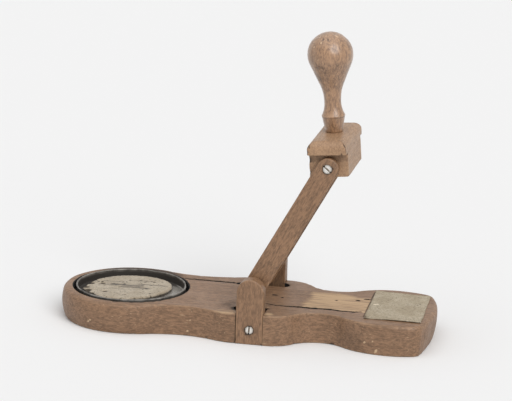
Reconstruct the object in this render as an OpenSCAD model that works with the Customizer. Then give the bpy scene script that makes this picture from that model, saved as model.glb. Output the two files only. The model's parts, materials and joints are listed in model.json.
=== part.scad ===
// Hand lever stamp press on a violin-shaped board: an ink tin at one end, a
// labelled bed at the other, and a handled press head that two arms carry
// over from the tin to the bed.
// X runs along the board towards the bed, Y across it and Z up. The origin
// is on the underside of the board, straight below the lever's pivot.

/* [Base board] */
// Thickness of the board
board_thick = 25; // [20:0.5:35]
// Straight run of the board's edge beyond each side of a cheek
edge_flat = 2; // [1:0.5:5]
// Wood left between the ink well and the round ink end
ink_end_wall = 9.2; // [4:0.2:12]
// Half width of the waist on the ink side
ink_waist_half = 44.5; // [43:0.5:48]
// Radius of the ink side's shoulder over its waist's radius
ink_shoulder_ratio = 0.63; // [0.4:0.01:1]
// Half width of the waist on the bed side
bed_waist_half = 33; // [28:0.5:40]
// Radius of the bed side's shoulder over its waist's radius
bed_shoulder_ratio = 1; // [0.6:0.05:1.5]
// Half width of the bed
bed_half = 51; // [47:0.2:60]
// Radius of the bed's two long sides
bed_side_r = 57.4; // [45:0.2:80]
// How far the bed's widest place lies short of the head's landing place
bed_wide_short = 9.3; // [5:0.1:12]
// How far the bed's end lies past the head's landing place
bed_end_past = 26.3; // [20:0.1:35]
// Radius of the slightly bowed far end
bed_end_r = 120; // [100:5:200]
// Radius of the bed's two corners
bed_corner_r = 11; // [8:1:20]

/* [Ink tin and pad] */
// Outer radius of the tin over its rim
tin_r = 45.8; // [38:0.2:56]
// Height of the tin from its floor to the top of its rim
tin_height = 8.5; // [8:0.1:12]
// Thickness of the sheet that the tin is pressed from
tin_sheet = 0.6; // [0.4:0.1:1]
// Radius of the bead rolled round the rim
tin_bead_r = 0.8; // [0.6:0.1:1.2]
// How far the rim stands above the board
tin_stand = 1.3; // [0.5:0.1:2]
// Gap between the rim and the wall of the well
well_gap = 1.8; // [0.5:0.1:3]
// How far the tin's centre lies short of the head's landing place
tin_short = 7.3; // [4:0.1:12]
// Gap between the ink pad and the tin's wall, all round when the pad is centred
pad_margin = 7.7; // [6:0.1:14]
// Thickness of the ink pad
pad_thick = 3.6; // [2:0.1:4]
// How far the pad has slid off the tin's centre, away from the pivot
pad_slip = 4; // [0:0.5:5]
// How far the pad lies from the tin's centre towards the rear cheek
pad_back = 5; // [0:0.5:6]

/* [Cheeks] */
// Width of a cheek along the board
cheek_w = 22; // [18:0.5:25]
// Thickness of a cheek
cheek_thick = 10.6; // [8:0.2:12]
// Height of the pivot above the board's top
pivot_rise = 17.4; // [16:0.2:24]
// Gap on each side of a cheek in its recess
cheek_seat_gap = 0.4; // [0.1:0.1:0.8]
// Diameter of the rod that the arms swing on
rod_d = 6; // [4:0.5:8]
// Wood left between the end of the rod's bore and the cheek's outer face
rod_cover = 3.6; // [3:0.1:5]
// Height of the cheek screw above the underside
cheek_screw_z = 11.8; // [10:0.2:14]

/* [Arms] */
// Distance from the pivot to the head screws
arm_reach = 117.3; // [108:0.5:124]
// Width of an arm
arm_w = 17.6; // [14:0.2:18]
// Thickness of an arm
arm_thick = 7; // [5:0.5:8]
// Distance from the pivot to the middle of an arm's round tail
arm_tail = 10; // [4:0.5:12]
// Lean of the arms from upright towards the bed, at rest
lever_rest = 28.7; // [0:0.1:40]
// Gap between an arm and its cheek
arm_cheek_gap = 3.45; // [1:0.05:5]
// How far each mortise for the arms' tails runs past its cheek
mortise_past = 5; // [3:0.5:8]
// Room under the tails in the mortises
tail_room = 4.6; // [2:0.1:6]

/* [Press head] */
// Length of the head block between the arms
block_len = 63.3; // [56:0.1:64]
// Width of the head along the board
head_w = 31.5; // [26:0.1:36]
// Depth of the block below the head screws
block_drop = 8; // [7:0.2:12]
// Gap between the arms' tips and the cap's underside
cap_gap = 2.3; // [2.3:0.1:5]
// Thickness of the cap
cap_thick = 11.1; // [10:0.1:16]
// How far each end of the cap stands out over an arm
cap_overhang = 7.6; // [3:0.1:8]
// Radius of the cap's four upper edges
cap_round = 7; // [3:0.5:9]
// Tilt of the head from upright towards the bed, at rest
head_rest = -5; // [-8:0.5:0]

/* [Handle] */
// Radius of the knob
knob_r = 18.3; // [15:0.1:22]
// Height of the knob's centre above the cap
knob_rise = 62.5; // [56:0.1:70]
// Slope of the handle's flare under the knob, from the upright
flare_angle = 23.5; // [20:0.5:26]
// Radius of the neck
neck_r = 6.75; // [6:0.05:8]
// Height of the neck's narrowest place above the cap
neck_rise = 24.3; // [22:0.1:25]
// Radius of the collar
collar_r = 9.5; // [9:0.1:11]
// Height of the collar above the cap
collar_rise = 13.3; // [11:0.1:14]
// Radius of the handle's foot
foot_r = 7; // [6.5:0.1:9]
// Radius of the tenon under the foot
tenon_r = 5; // [4:0.5:6]
// Length of the tenon
tenon_len = 14; // [10:0.5:16]

/* [Type plate] */
// Length of the plate across the board
plate_len = 37; // [24:1:50]
// Width of the plate along the board
plate_w = 20; // [14:1:24]
// Thickness of the plate
plate_thick = 3; // [2:0.5:4]

/* [Screws] */
// Diameter of a cheek screw's head
cheek_screw_head_d = 6.2; // [5:0.2:8]
// Diameter of a cheek screw's shank
cheek_screw_d = 3.3; // [2.5:0.1:4]
// Length of a cheek screw
cheek_screw_len = 19; // [16:0.5:24]
// Diameter of an arm screw's head
arm_screw_head_d = 6.6; // [5:0.2:8]
// Diameter of an arm screw's shank
arm_screw_d = 4.2; // [3:0.1:5]
// Length of an arm screw
arm_screw_len = 23; // [18:0.5:28]
// Width of the screw slots
slot_w = 0.9; // [0.6:0.1:1.2]
// Depth of the screw slots
slot_deep = 1; // [0.6:0.1:1.2]

/* [Paper label] */
// Length of the label across the board
label_len = 78; // [60:1:84]
// Width of the label along the board
label_w = 45; // [36:1:50]
// Thickness of the label
label_thick = 0.3; // [0.2:0.05:0.5]
// How far the label's middle lies short of the head's landing place
label_short = 6.3; // [4:0.1:10]
// Distance of the label's middle behind the centre line
label_back = 1.5; // [-3:0.5:3]
// Turn of the label on the board
label_turn = 1.9; // [-3:0.1:3]

/* [Clearances] */
// Radial clearance of a turning fit
turn_gap = 0.05; // [0.02:0.01:0.1]
// Gap between parts that pass one another
side_gap = 0.3; // [0.2:0.05:0.5]
// Radial clearance of a glued or driven fit
glue_gap = 0.03; // [0.01:0.01:0.05]

/* [Hidden] */
$fn = 96;
ARC_STEPS = 12;
OVERCUT = 1;
SCREW_CONE = 2.2;
SCREW_LAND = 0.3;
SCREW_SINK = 0.15;

pivot_z = board_thick + pivot_rise;
block_half = block_len / 2;
arm_inner = block_half + side_gap;
arm_outer = arm_inner + arm_thick;
cheek_inner = arm_outer + arm_cheek_gap;
middle_half = cheek_inner + cheek_thick;
middle_flat = cheek_w / 2 + edge_flat;
rod_socket = cheek_thick - rod_cover;
rod_half = cheek_inner + rod_socket - side_gap;
mortise_w = cheek_inner - arm_inner + 2 * side_gap;
mortise_run = cheek_w / 2 + mortise_past;
mortise_deep = arm_tail + arm_w / 2 - pivot_rise + tail_room;
head_pivot = [arm_reach * sin(lever_rest), 0, pivot_z + arm_reach * cos(lever_rest)];
cap_rise = arm_w / 2 + cap_gap;
cap_top = cap_rise + cap_thick;
tin_reach = arm_reach - tin_short;
tin_bead_centre = tin_r - tin_bead_r;
tin_wall_r = tin_bead_centre + tin_sheet / 2;
well_r = tin_r + well_gap;
well_floor = board_thick + tin_stand - tin_height;
pad_floor = well_floor + tin_sheet;
pad_r = tin_wall_r - tin_sheet - pad_margin;
label_reach = arm_reach - label_short;

// ---- Outline of the board ------------------------------------------------

// Direction from point a to point b, in degrees
function heading(a, b) = atan2(b.y - a.y, b.x - a.x);

// Points of an arc about c, from angle a0 to angle a1
function arc(c, r, a0, a1) =
    [for (i = [0:ARC_STEPS]) let (a = a0 + (a1 - a0) * i / ARC_STEPS) c + r * [cos(a), sin(a)]];

// Distance along X from an end's centre to its waist. The waist's arc touches
// the end's circle of radius end_r, which is sunk below the centre line by
// sink, and the shoulder's arc, which ends level at the middle's straight run,
// a distance run from the end's centre. The shoulder's radius is ratio times
// the waist's. Both contacts give one quadratic in this distance.
function waist_step(run, end_r, sink, waist_half, ratio) =
    let (
        rise = middle_half - waist_half,
        total = end_r + sink + waist_half,
        drop = end_r - sink - waist_half,
        a = 1 / rise - (1 + ratio) / drop,
        b = 2 * run / rise,
        c = run * run / rise + rise + (1 + ratio) * total
    )
    2 * c / (b + sqrt(b * b - 4 * a * c));

// Radius of the waist's arc that belongs to that distance
function waist_radius(step, end_r, sink, waist_half) =
    (step * step / (end_r - sink - waist_half) - end_r - sink - waist_half) / 2;

// The crossing, on the +Y side, of two circles with centres on any two points
function crossing(p, rp, q, rq) =
    let (d = norm(q - p), u = (q - p) / d, a = (d * d + rp * rp - rq * rq) / (2 * d))
    p + a * u + sqrt(rp * rp - a * a) * [-u.y, u.x];

ink_end_r = well_r + ink_end_wall;
ink_centre = [-tin_reach, 0];
ink_step = waist_step(tin_reach - middle_flat, ink_end_r, 0, ink_waist_half, ink_shoulder_ratio);
ink_waist_r = waist_radius(ink_step, ink_end_r, 0, ink_waist_half);
ink_waist = [ink_step - tin_reach, ink_waist_half + ink_waist_r];
ink_shoulder_r = ink_shoulder_ratio * ink_waist_r;
ink_shoulder = [-middle_flat, middle_half - ink_shoulder_r];

bed_wide_reach = arm_reach - bed_wide_short;
bed_sink = bed_side_r - bed_half;
bed_side = [bed_wide_reach, -bed_sink];
bed_step = waist_step(bed_wide_reach - middle_flat, bed_side_r, bed_sink, bed_waist_half, bed_shoulder_ratio);
bed_waist_r = waist_radius(bed_step, bed_side_r, bed_sink, bed_waist_half);
bed_waist = [bed_wide_reach - bed_step, bed_waist_half + bed_waist_r];
bed_shoulder_r = bed_shoulder_ratio * bed_waist_r;
bed_shoulder = [middle_flat, middle_half - bed_shoulder_r];
bed_end = [arm_reach + bed_end_past - bed_end_r, 0];
bed_corner = crossing(bed_end, bed_end_r - bed_corner_r, bed_side, bed_side_r - bed_corner_r);

// Half outline from the ink end round to the bed's far end, each arc tangent to the next
half_outline = concat(
    arc(ink_centre, ink_end_r, 180, heading(ink_centre, ink_waist)),
    arc(ink_waist, ink_waist_r, heading(ink_waist, ink_centre), heading(ink_waist, ink_shoulder)),
    arc(ink_shoulder, ink_shoulder_r, heading(ink_shoulder, ink_waist), 90),
    arc(bed_shoulder, bed_shoulder_r, 90, heading(bed_shoulder, bed_waist)),
    arc(bed_waist, bed_waist_r, heading(bed_waist, bed_shoulder), heading(bed_waist, bed_side)),
    arc(bed_side, bed_side_r, heading(bed_side, bed_waist), heading(bed_side, bed_corner)),
    arc(bed_corner, bed_corner_r, heading(bed_side, bed_corner), heading(bed_end, bed_corner)),
    arc(bed_end, bed_end_r, heading(bed_end, bed_corner), 0)
);

// The same points seen from the other side, leaving out both ends on the centre line
other_half = [for (i = [len(half_outline) - 2:-1:1]) [half_outline[i].x, -half_outline[i].y]];

module board_outline() {
    polygon(concat(half_outline, other_half));
}

// ---- Shared shapes -------------------------------------------------------

// A cylinder that lies along Y, from y0 to y1
module cross_bore(r, y0, y1) {
    translate([0, y0, 0]) rotate([-90, 0, 0]) cylinder(r = r, h = y1 - y0);
}

// The solid of a countersunk screw whose head faces -Y at the origin
module screw_body(head_r, shank_r, length) {
    cross_bore(head_r, 0, SCREW_LAND);
    translate([0, SCREW_LAND, 0]) rotate([-90, 0, 0])
        cylinder(r1 = head_r, r2 = shank_r, h = SCREW_CONE);
    cross_bore(shank_r, SCREW_LAND + SCREW_CONE, length);
}

// A slotted countersunk screw; slot_turn leans its slot from upright
module wood_screw(head_d, shank_d, length, slot_turn) {
    difference() {
        screw_body(head_d / 2, shank_d / 2, length);
        rotate([0, slot_turn, 0])
            translate([-slot_w / 2, -OVERCUT, -head_d])
            cube([slot_w, OVERCUT + slot_deep, 2 * head_d]);
    }
}

// What a wood_screw leaves in the pieces around it, with a radial gap
module screw_hole(head_d, shank_d, length, gap) {
    screw_body(head_d / 2 + gap, shank_d / 2 + gap, length + side_gap);
    cross_bore(head_d / 2 + gap, -OVERCUT, 0);
}

module at_cheek_screw() {
    translate([0, -middle_half + SCREW_SINK, cheek_screw_z]) children();
}

module at_arm_screw() {
    translate([0, -arm_outer + SCREW_SINK, 0]) children();
}

module at_lever() {
    translate([0, 0, pivot_z]) rotate([0, lever_rest, 0]) children();
}

module at_head() {
    translate(head_pivot) rotate([0, head_rest, 0]) children();
}

// ---- Base ----------------------------------------------------------------

// Recess in the board's front edge that a cheek is let into
module cheek_recess() {
    translate([-cheek_w / 2 - cheek_seat_gap, -middle_half - OVERCUT, -OVERCUT])
        cube([cheek_w + 2 * cheek_seat_gap, OVERCUT + cheek_thick, board_thick + 2 * OVERCUT]);
}

// Mortise beside the front cheek, for an arm's tail; it runs on past the cheek
// to one side and ends half round
module arm_mortise() {
    end_r = mortise_w / 2;
    translate([0, -cheek_inner, board_thick - mortise_deep]) {
        translate([-mortise_run + end_r, 0, 0])
            cube([mortise_run - end_r + cheek_w / 2, mortise_w, mortise_deep + OVERCUT]);
        translate([-mortise_run + end_r, end_r, 0])
            cylinder(r = end_r, h = mortise_deep + OVERCUT);
    }
}

module one_side_cuts() {
    cheek_recess();
    arm_mortise();
    at_cheek_screw() screw_hole(cheek_screw_head_d, cheek_screw_d, cheek_screw_len, glue_gap);
}

module base_board() {
    color("#8d6a48")
    difference() {
        linear_extrude(board_thick) board_outline();
        translate([-tin_reach, 0, well_floor]) cylinder(r = well_r, h = tin_height);
        one_side_cuts();
        rotate(180) one_side_cuts();
    }
}

module cheek() {
    color("#86643f")
    difference() {
        union() {
            translate([-cheek_w / 2, -middle_half, 0]) cube([cheek_w, cheek_thick, pivot_z]);
            translate([0, 0, pivot_z]) cross_bore(cheek_w / 2, -middle_half, -cheek_inner);
        }
        translate([0, 0, pivot_z])
            cross_bore(rod_d / 2 + turn_gap, -cheek_inner - rod_socket, -cheek_inner + OVERCUT);
        at_cheek_screw() screw_hole(cheek_screw_head_d, cheek_screw_d, cheek_screw_len, glue_gap);
    }
}

module front_cheek() {
    cheek();
}

module rear_cheek() {
    rotate(180) cheek();
}

module cheek_screw() {
    color("#c9c3b4")
    at_cheek_screw() wood_screw(cheek_screw_head_d, cheek_screw_d, cheek_screw_len, 4);
}

module front_cheek_screw() {
    cheek_screw();
}

module rear_cheek_screw() {
    rotate(180) cheek_screw();
}

// ---- Ink tin, pad and label ----------------------------------------------

module ink_tin() {
    color("#4c4640")
    translate([-tin_reach, 0, well_floor])
        rotate_extrude() {
            square([tin_wall_r, tin_sheet]);
            translate([tin_wall_r - tin_sheet, 0]) square([tin_sheet, tin_height - tin_bead_r]);
            translate([tin_bead_centre, tin_height - tin_bead_r]) circle(r = tin_bead_r, $fn = 32);
        }
}

module ink_pad() {
    color("#b9a98c")
    translate([-tin_reach - pad_slip, pad_back, pad_floor]) cylinder(r = pad_r, h = pad_thick);
}

module paper_label() {
    color("#d8ceb4")
    translate([label_reach, label_back, board_thick])
        rotate(label_turn)
        translate([-label_w / 2, -label_len / 2, 0])
        cube([label_w, label_len, label_thick]);
}

// ---- Lever ---------------------------------------------------------------

module pivot_rod() {
    color("#8f8f8c")
    translate([0, 0, pivot_z]) cross_bore(rod_d / 2, -rod_half, rod_half);
}

module arm() {
    color("#7d5c3a")
    difference() {
        union() {
            translate([-arm_w / 2, -arm_outer, -arm_tail]) cube([arm_w, arm_thick, arm_tail + arm_reach]);
            for (z = [-arm_tail, arm_reach])
                translate([0, 0, z]) cross_bore(arm_w / 2, -arm_outer, -arm_inner);
        }
        cross_bore(rod_d / 2 + glue_gap, -arm_outer - OVERCUT, -arm_inner + OVERCUT);
        translate([0, 0, arm_reach]) at_arm_screw()
            screw_hole(arm_screw_head_d, arm_screw_d, arm_screw_len, turn_gap);
    }
}

module front_arm() {
    at_lever() arm();
}

module rear_arm() {
    at_lever() mirror([0, 1, 0]) arm();
}

module arm_screw(slot_turn) {
    color("#cdc8ba")
    at_arm_screw() wood_screw(arm_screw_head_d, arm_screw_d, arm_screw_len, slot_turn);
}

module front_arm_screw() {
    at_head() arm_screw(-45);
}

module rear_arm_screw() {
    at_head() rotate(180) arm_screw(20);
}

// ---- Press head ----------------------------------------------------------

// Cross section of the cap: flat on top, with both upper corners rounded
module cap_section(width) {
    inner = width / 2 - cap_round;
    intersection() {
        translate([-width / 2, cap_rise]) square([width, cap_thick]);
        union() {
            translate([-width / 2, cap_rise]) square([width, cap_thick - cap_round]);
            translate([-inner, cap_rise]) square([2 * inner, cap_thick]);
            for (x = [-inner, inner]) translate([x, cap_top - cap_round]) circle(r = cap_round);
        }
    }
}

module press_head() {
    cap_half = block_half + cap_overhang;
    color("#a07c52")
    at_head() difference() {
        union() {
            translate([-head_w / 2, -block_half, -block_drop])
                cube([head_w, block_len, block_drop + cap_rise]);
            intersection() {
                rotate([90, 0, 0])
                    linear_extrude(2 * cap_half, center = true) cap_section(head_w);
                rotate([90, 0, 90])
                    linear_extrude(head_w, center = true) cap_section(2 * cap_half);
            }
        }
        for (turn = [0, 180]) rotate(turn) at_arm_screw()
            screw_hole(arm_screw_head_d, arm_screw_d, arm_screw_len, turn_gap);
        translate([0, 0, cap_top - tenon_len - side_gap])
            cylinder(r = tenon_r + glue_gap, h = tenon_len + side_gap + OVERCUT);
    }
}

// Half profile of the handle above the cap: foot, collar, neck, flare and knob
function handle_profile() =
    let (
        bead = 0.7,
        cove_top = collar_rise + bead,
        cove_out = collar_r - neck_r - bead / 3,
        cove_h = neck_rise - cove_top,
        cove_r = (cove_h * cove_h + cove_out * cove_out) / (2 * cove_out),
        cove = [neck_r + cove_r, neck_rise],
        cove_start = asin(cove_h / cove_r),
        knob = [0, knob_rise],
        knob_join = knob + knob_r * [cos(flare_angle), -sin(flare_angle)],
        flare_r = (neck_r - knob_join.x + (knob_join.y - neck_rise) * tan(flare_angle))
            / (1 / cos(flare_angle) - 1),
        flare = [neck_r + flare_r, neck_rise]
    )
    concat(
        [[0, 0], [foot_r, 0], [collar_r - bead / 3, collar_rise - bead], [collar_r, collar_rise]],
        arc(cove, cove_r, 180 + cove_start, 180),
        arc(flare, flare_r, 180, 180 - flare_angle),
        arc(knob, knob_r, -flare_angle, 90)
    );

module handle() {
    color("#5f452b")
    at_head() translate([0, 0, cap_top]) {
        rotate_extrude() polygon(handle_profile());
        translate([0, 0, -tenon_len]) cylinder(r = tenon_r, h = tenon_len);
    }
}

module type_plate() {
    color("#75736e")
    at_head() translate([-plate_w / 2, -plate_len / 2, -block_drop - plate_thick])
        cube([plate_w, plate_len, plate_thick]);
}

base_board();
front_cheek();
rear_cheek();
front_cheek_screw();
rear_cheek_screw();
ink_tin();
ink_pad();
paper_label();
pivot_rod();
front_arm();
rear_arm();
front_arm_screw();
rear_arm_screw();
press_head();
handle();
type_plate();
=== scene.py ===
"""Looks of a platen letterpress, a small hand lever stamp press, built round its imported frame.

The board carries an ink tin at one end and a papered bed at the other. Two arms swing a wooden
head with a turned handle from one to the other. Sizes are in millimetres until a mesh is made,
which is in metres. X runs along the board to the bed, Y to the rear cheek and Z up.
"""

import json
import logging
import math
from dataclasses import dataclass, field
from enum import Enum
from typing import Callable, Sequence

import bmesh
import bpy
import numpy as np
from mathutils import Matrix, Vector


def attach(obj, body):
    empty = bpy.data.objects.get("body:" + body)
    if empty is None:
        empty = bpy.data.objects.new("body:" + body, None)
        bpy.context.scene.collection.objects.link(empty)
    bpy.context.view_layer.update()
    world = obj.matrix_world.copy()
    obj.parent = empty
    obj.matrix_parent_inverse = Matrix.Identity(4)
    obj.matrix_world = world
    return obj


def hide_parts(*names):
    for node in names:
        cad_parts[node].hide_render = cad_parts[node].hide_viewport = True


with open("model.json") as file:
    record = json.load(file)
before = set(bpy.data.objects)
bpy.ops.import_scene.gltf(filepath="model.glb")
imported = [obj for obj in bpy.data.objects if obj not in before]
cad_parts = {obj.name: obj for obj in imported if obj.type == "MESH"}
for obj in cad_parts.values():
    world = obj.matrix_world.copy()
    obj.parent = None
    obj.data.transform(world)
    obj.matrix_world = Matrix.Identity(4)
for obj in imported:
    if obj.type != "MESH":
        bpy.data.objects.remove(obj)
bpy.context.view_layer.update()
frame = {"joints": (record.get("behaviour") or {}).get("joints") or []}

LOG = logging.getLogger("press")
MM = 0.001
MERGE_GAP = 2e-6  # points nearer than this, in metres, become one
LEAST_EDGE = 1e-6  # shorter edges are dissolved, in metres
LEAST_RUN = 0.03  # shorter runs of an outline are left out
SHARP_ANGLE = 38  # degrees between two faces from which their edge is drawn sharp
CREASE_FULL = 2.0  # a bend of one radian over this length counts as a full crease
CREASE_REACH = 0.9  # how far a crease's mark reaches over the faces beside it
CUT_GAP = 0.03  # play between a screw and its hole
Points = np.ndarray
Rows = Sequence[Sequence[float]]
Piece = bpy.types.Object
Mesh = bpy.types.Mesh
Material = bpy.types.Material
Nodes = bpy.types.NodeTree
Node = bpy.types.Node
Socket = bpy.types.NodeSocket
Colour = tuple[float, float, float]


# ---- Lines and surfaces ----


def arc(centre: Sequence[float], radius: float, start: float, end: float, spacing: float = 1.2) -> Points:
    """Points of a circle's arc: the centre plus the radius times (cos a, sin a), a going evenly.

    Args:
        centre: The circle's centre.
        radius: Its radius.
        start: The first angle, in degrees.
        end: The last angle, in degrees.
        spacing: The longest run between two points.

    Returns:
        The points, one row each.
    """
    steps = max(4, math.ceil(abs(math.radians(end - start)) * radius / spacing))
    a = np.radians(np.linspace(start, end, steps + 1))
    return np.stack([centre[0] + radius * np.cos(a), centre[1] + radius * np.sin(a)], axis=1)


def filled(line: Points, spacing: float, closed: bool = True) -> Points:
    """The same line with even points added along each run that is longer than the spacing.

    Args:
        line: The line's points.
        spacing: The longest run to leave.
        closed: Whether the last point joins the first.

    Returns:
        The points of the finer line.
    """
    ends = np.roll(line, -1, axis=0)
    counts = np.maximum(1, np.ceil(np.linalg.norm(ends - line, axis=1) / spacing).astype(int))
    if not closed:
        counts[-1] = 1
    step = np.repeat((ends - line) / counts[:, None], counts, axis=0)
    order = np.arange(counts.sum()) - np.repeat(np.cumsum(counts) - counts, counts)
    return np.repeat(line, counts, axis=0) + step * order[:, None]


def rounded(corners: Rows, radii: Sequence[float], spacing: float = 1.5) -> Points:
    """A closed loop of straight runs joined by arcs.

    Where the runs meet at an angle of 2 h, the arc of radius r begins r / tan h along each run and
    its centre lies r / sin h along their bisector.

    Args:
        corners: The loop's corners, anticlockwise.
        radii: The radius at each corner.
        spacing: The longest run between two points.

    Returns:
        The loop's points.
    """
    corners = np.asarray(corners, float)
    pieces = []
    for before, corner, after, radius in zip(np.roll(corners, 1, 0), corners, np.roll(corners, -1, 0), radii):
        back, on = before - corner, after - corner
        back, on = back / np.linalg.norm(back), on / np.linalg.norm(on)
        half = math.acos(float(np.clip(back @ on, -1, 1))) / 2
        centre = corner + (back + on) / np.linalg.norm(back + on) * radius / math.sin(half)
        first = corner + back * radius / math.tan(half) - centre
        last = corner + on * radius / math.tan(half) - centre
        begin = math.degrees(math.atan2(first[1], first[0]))
        turn = math.degrees(math.atan2(first[0] * last[1] - first[1] * last[0], first @ last))
        pieces.append(arc(centre, radius, begin, begin + turn, min(spacing, radius / 3)))
    loop = np.concatenate(pieces)
    return filled(loop[np.linalg.norm(np.roll(loop, -1, axis=0) - loop, axis=1) > LEAST_RUN], spacing)


def outward(loop: Points) -> Points:
    """Unit normals of a loop: the mean of both runs at a point, turned right.

    Args:
        loop: The loop's points, anticlockwise.

    Returns:
        One normal for each point.
    """
    run = np.roll(loop, -1, axis=0) - loop
    run /= np.linalg.norm(run, axis=1, keepdims=True)
    along = run + np.roll(run, 1, axis=0)
    along /= np.linalg.norm(along, axis=1, keepdims=True)
    return np.stack([along[:, 1], -along[:, 0]], axis=1)


def wander(count: int, seed: int, cycles: Sequence[int] = (2, 3, 5, 9, 14)) -> Points:
    """A smooth closed run of numbers about 0 and mostly within 1.

    It is a sum of sines that each make a whole number of cycles round the loop, with drawn phases
    and falling heights.

    Args:
        count: How many numbers.
        seed: Fixes the drawn phases.
        cycles: How many cycles each sine makes.

    Returns:
        The numbers.
    """
    rng = np.random.default_rng(seed)
    turn = np.arange(count) / count * 2 * np.pi
    waves = [np.sin(k * turn + rng.uniform(0, 2 * np.pi)) / k**0.5 for k in cycles]
    return np.sum(waves, axis=0) / np.sqrt(np.sum([0.5 / k for k in cycles])) / 1.6


def slab(
    loop: Points, core: Points, low: float, high: float, soft: tuple,
    rows: tuple = (8, 4, 8), under: Callable[[Points], Points] = np.zeros_like,
) -> Points:
    """Rows of a flat piece with rounded arrises, from the middle of one face to that of the other.

    On a face, a row lies a share t of the way from the core to the face's edge. On an arris of
    radius r, at angle q, it lies r (1 - sin q) inside the loop and r (1 - cos q) from the face.
    At every height the edge also lies further inside by what the wall falls back there.

    Args:
        loop: The outline, anticlockwise.
        core: For each outline point, the point in the middle that its rows run to.
        low: The height of the first face.
        high: The height of the second face.
        soft: The arris radius at the first and the second face, as numbers or along the loop.
        rows: How many rows the first face, the edge and the second face have.
        under: Gives how far the wall falls back from the loop, from an array of heights.

    Returns:
        The rows of points.
    """
    normals = outward(loop)
    quarter = np.linspace(0, np.pi / 2, 6)[:, None]

    def half(radius: Points, level: float, sign: int, count: int) -> Points:
        """The rows of one face and its arris, from the core outwards.

        Args:
            radius: The arris radius along the loop.
            level: The face's height.
            sign: 1 where the wall rises from the face, -1 where it falls.
            count: How many rows the face has.

        Returns:
            The rows.
        """
        high = level + sign * radius * (1 - np.cos(quarter))
        inset = radius * (1 - np.sin(quarter)) + under(high)
        bend = np.dstack([loop - normals * inset[..., None], high])
        middle = np.column_stack([core, np.full(len(core), level)])
        share = np.linspace(0, 1, count, endpoint=False)[:, None, None]
        return np.concatenate([middle + (bend[0] - middle) * share, bend])

    radii = [np.broadcast_to(np.asarray(r, float), len(loop)) for r in soft]
    first, last = half(radii[0], low, 1, rows[0]), half(radii[1], high, -1, rows[2])
    share = np.linspace(0, 1, rows[1] + 1)[1:-1, None]
    height = first[-1, :, 2] + (last[-1, :, 2] - first[-1, :, 2]) * share
    wall = np.dstack([loop - normals * under(height)[..., None], height])
    return np.concatenate([first, wall, last[::-1]])


def revolved(profile: Points, steps: int) -> Points:
    """Rows of a turned piece: each profile point (r, z) goes round to (r cos a, r sin a, z).

    Args:
        profile: Half its outline, as points (r, z).
        steps: How many points a row has.

    Returns:
        The rows of points.
    """
    a = np.linspace(0, 2 * np.pi, steps, endpoint=False)
    r, z = profile[:, :1], profile[:, 1:]
    return np.stack([r * np.cos(a), r * np.sin(a), z + 0 * a], axis=2)


def depth_inside(spots: Points, loop: Points) -> Points:
    """How far plan points lie inside a closed loop, or outside it where the number is negative.

    The distance is the least to any run, and the sign comes from how often a line in +X from the
    point crosses the loop.

    Args:
        spots: The points (x, y).
        loop: The loop's points.

    Returns:
        One number for each point.
    """
    a, b = loop[None], np.roll(loop, -1, axis=0)[None]
    p = spots[:, None]
    along = held(((p - a) * (b - a)).sum(2) / np.maximum(((b - a) ** 2).sum(2), 1e-12))
    gap = np.linalg.norm(p - a - along[..., None] * (b - a), axis=2).min(axis=1)
    level = (a[..., 1] > p[..., 1]) != (b[..., 1] > p[..., 1])
    rise = np.where(np.abs(b - a)[..., 1] < 1e-9, 1e-9, (b - a)[..., 1])
    ahead = p[..., 0] < (b - a)[..., 0] * (p[..., 1] - a[..., 1]) / rise + a[..., 0]
    inside = (level & ahead).sum(axis=1) % 2 == 1
    return np.where(inside, gap, -gap)


def held(values: Points) -> Points:
    """Numbers kept within 0 and 1."""
    return np.clip(values, 0, 1)


def bell(far: Points, reach: Points | float) -> Points:
    """A soft mark's share at a distance: exp(-(distance / reach)^2)."""
    return np.exp(-((far / reach) ** 2))


def blots(spots: Points, marks: Rows) -> Points:
    """The sum of soft round marks, each worth its strength times exp(-(distance / radius)^2).

    Args:
        spots: The points.
        marks: Rows of (centre ..., radius, strength).

    Returns:
        One number for each point.
    """
    table = np.asarray(marks, float)
    gap = np.linalg.norm(spots[:, None] - table[None, :, :-2], axis=2)
    return (table[:, -1] * bell(gap, table[:, -2])).sum(axis=1)


@dataclass(frozen=True)
class Place:
    """Where a piece's own axes lie in the frame.

    Attributes:
        origin: The piece's origin, in millimetres.
        axes: Three rows, the frame's directions of the piece's own axes.
    """

    origin: Points = field(default_factory=lambda: np.zeros(3))
    axes: Points = field(default_factory=lambda: np.eye(3))

    def put(self, points: Points) -> Points:
        """Points given in the piece's own axes, in the frame."""
        return self.origin + points @ self.axes

    def shifted(self, own: Sequence[float]) -> "Place":
        """The same axes with the origin moved along them."""
        return Place(self.put(np.asarray(own, float)), self.axes)

    def spun(self, degrees: float) -> "Place":
        """The same place turned about its own third axis."""
        c, s = math.cos(math.radians(degrees)), math.sin(math.radians(degrees))
        return Place(self.origin, np.array([[c, s, 0], [-s, c, 0], [0, 0, 1]]) @ self.axes)

    def scaled(self, across: float, along: float) -> "Place":
        """The same place with its first two axes stretched."""
        return Place(self.origin, np.array([[across], [along], [1.0]]) * self.axes)


class Side(Enum):
    """The side of the board that a cheek or an arm is on."""

    FRONT = "front"
    REAR = "rear"

    @property
    def sign(self) -> int:
        """-1 for the front, which faces -Y, and 1 for the rear."""
        return -1 if self is Side.FRONT else 1


def leaning(origin: Sequence[float], degrees: float) -> Place:
    """A place whose third axis leans from Z towards X, with its second axis along Y."""
    c, s = math.cos(math.radians(degrees)), math.sin(math.radians(degrees))
    return Place(np.asarray(origin, float), np.array([[c, 0, -s], [0, 1, 0], [s, 0, c]]))


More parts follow.
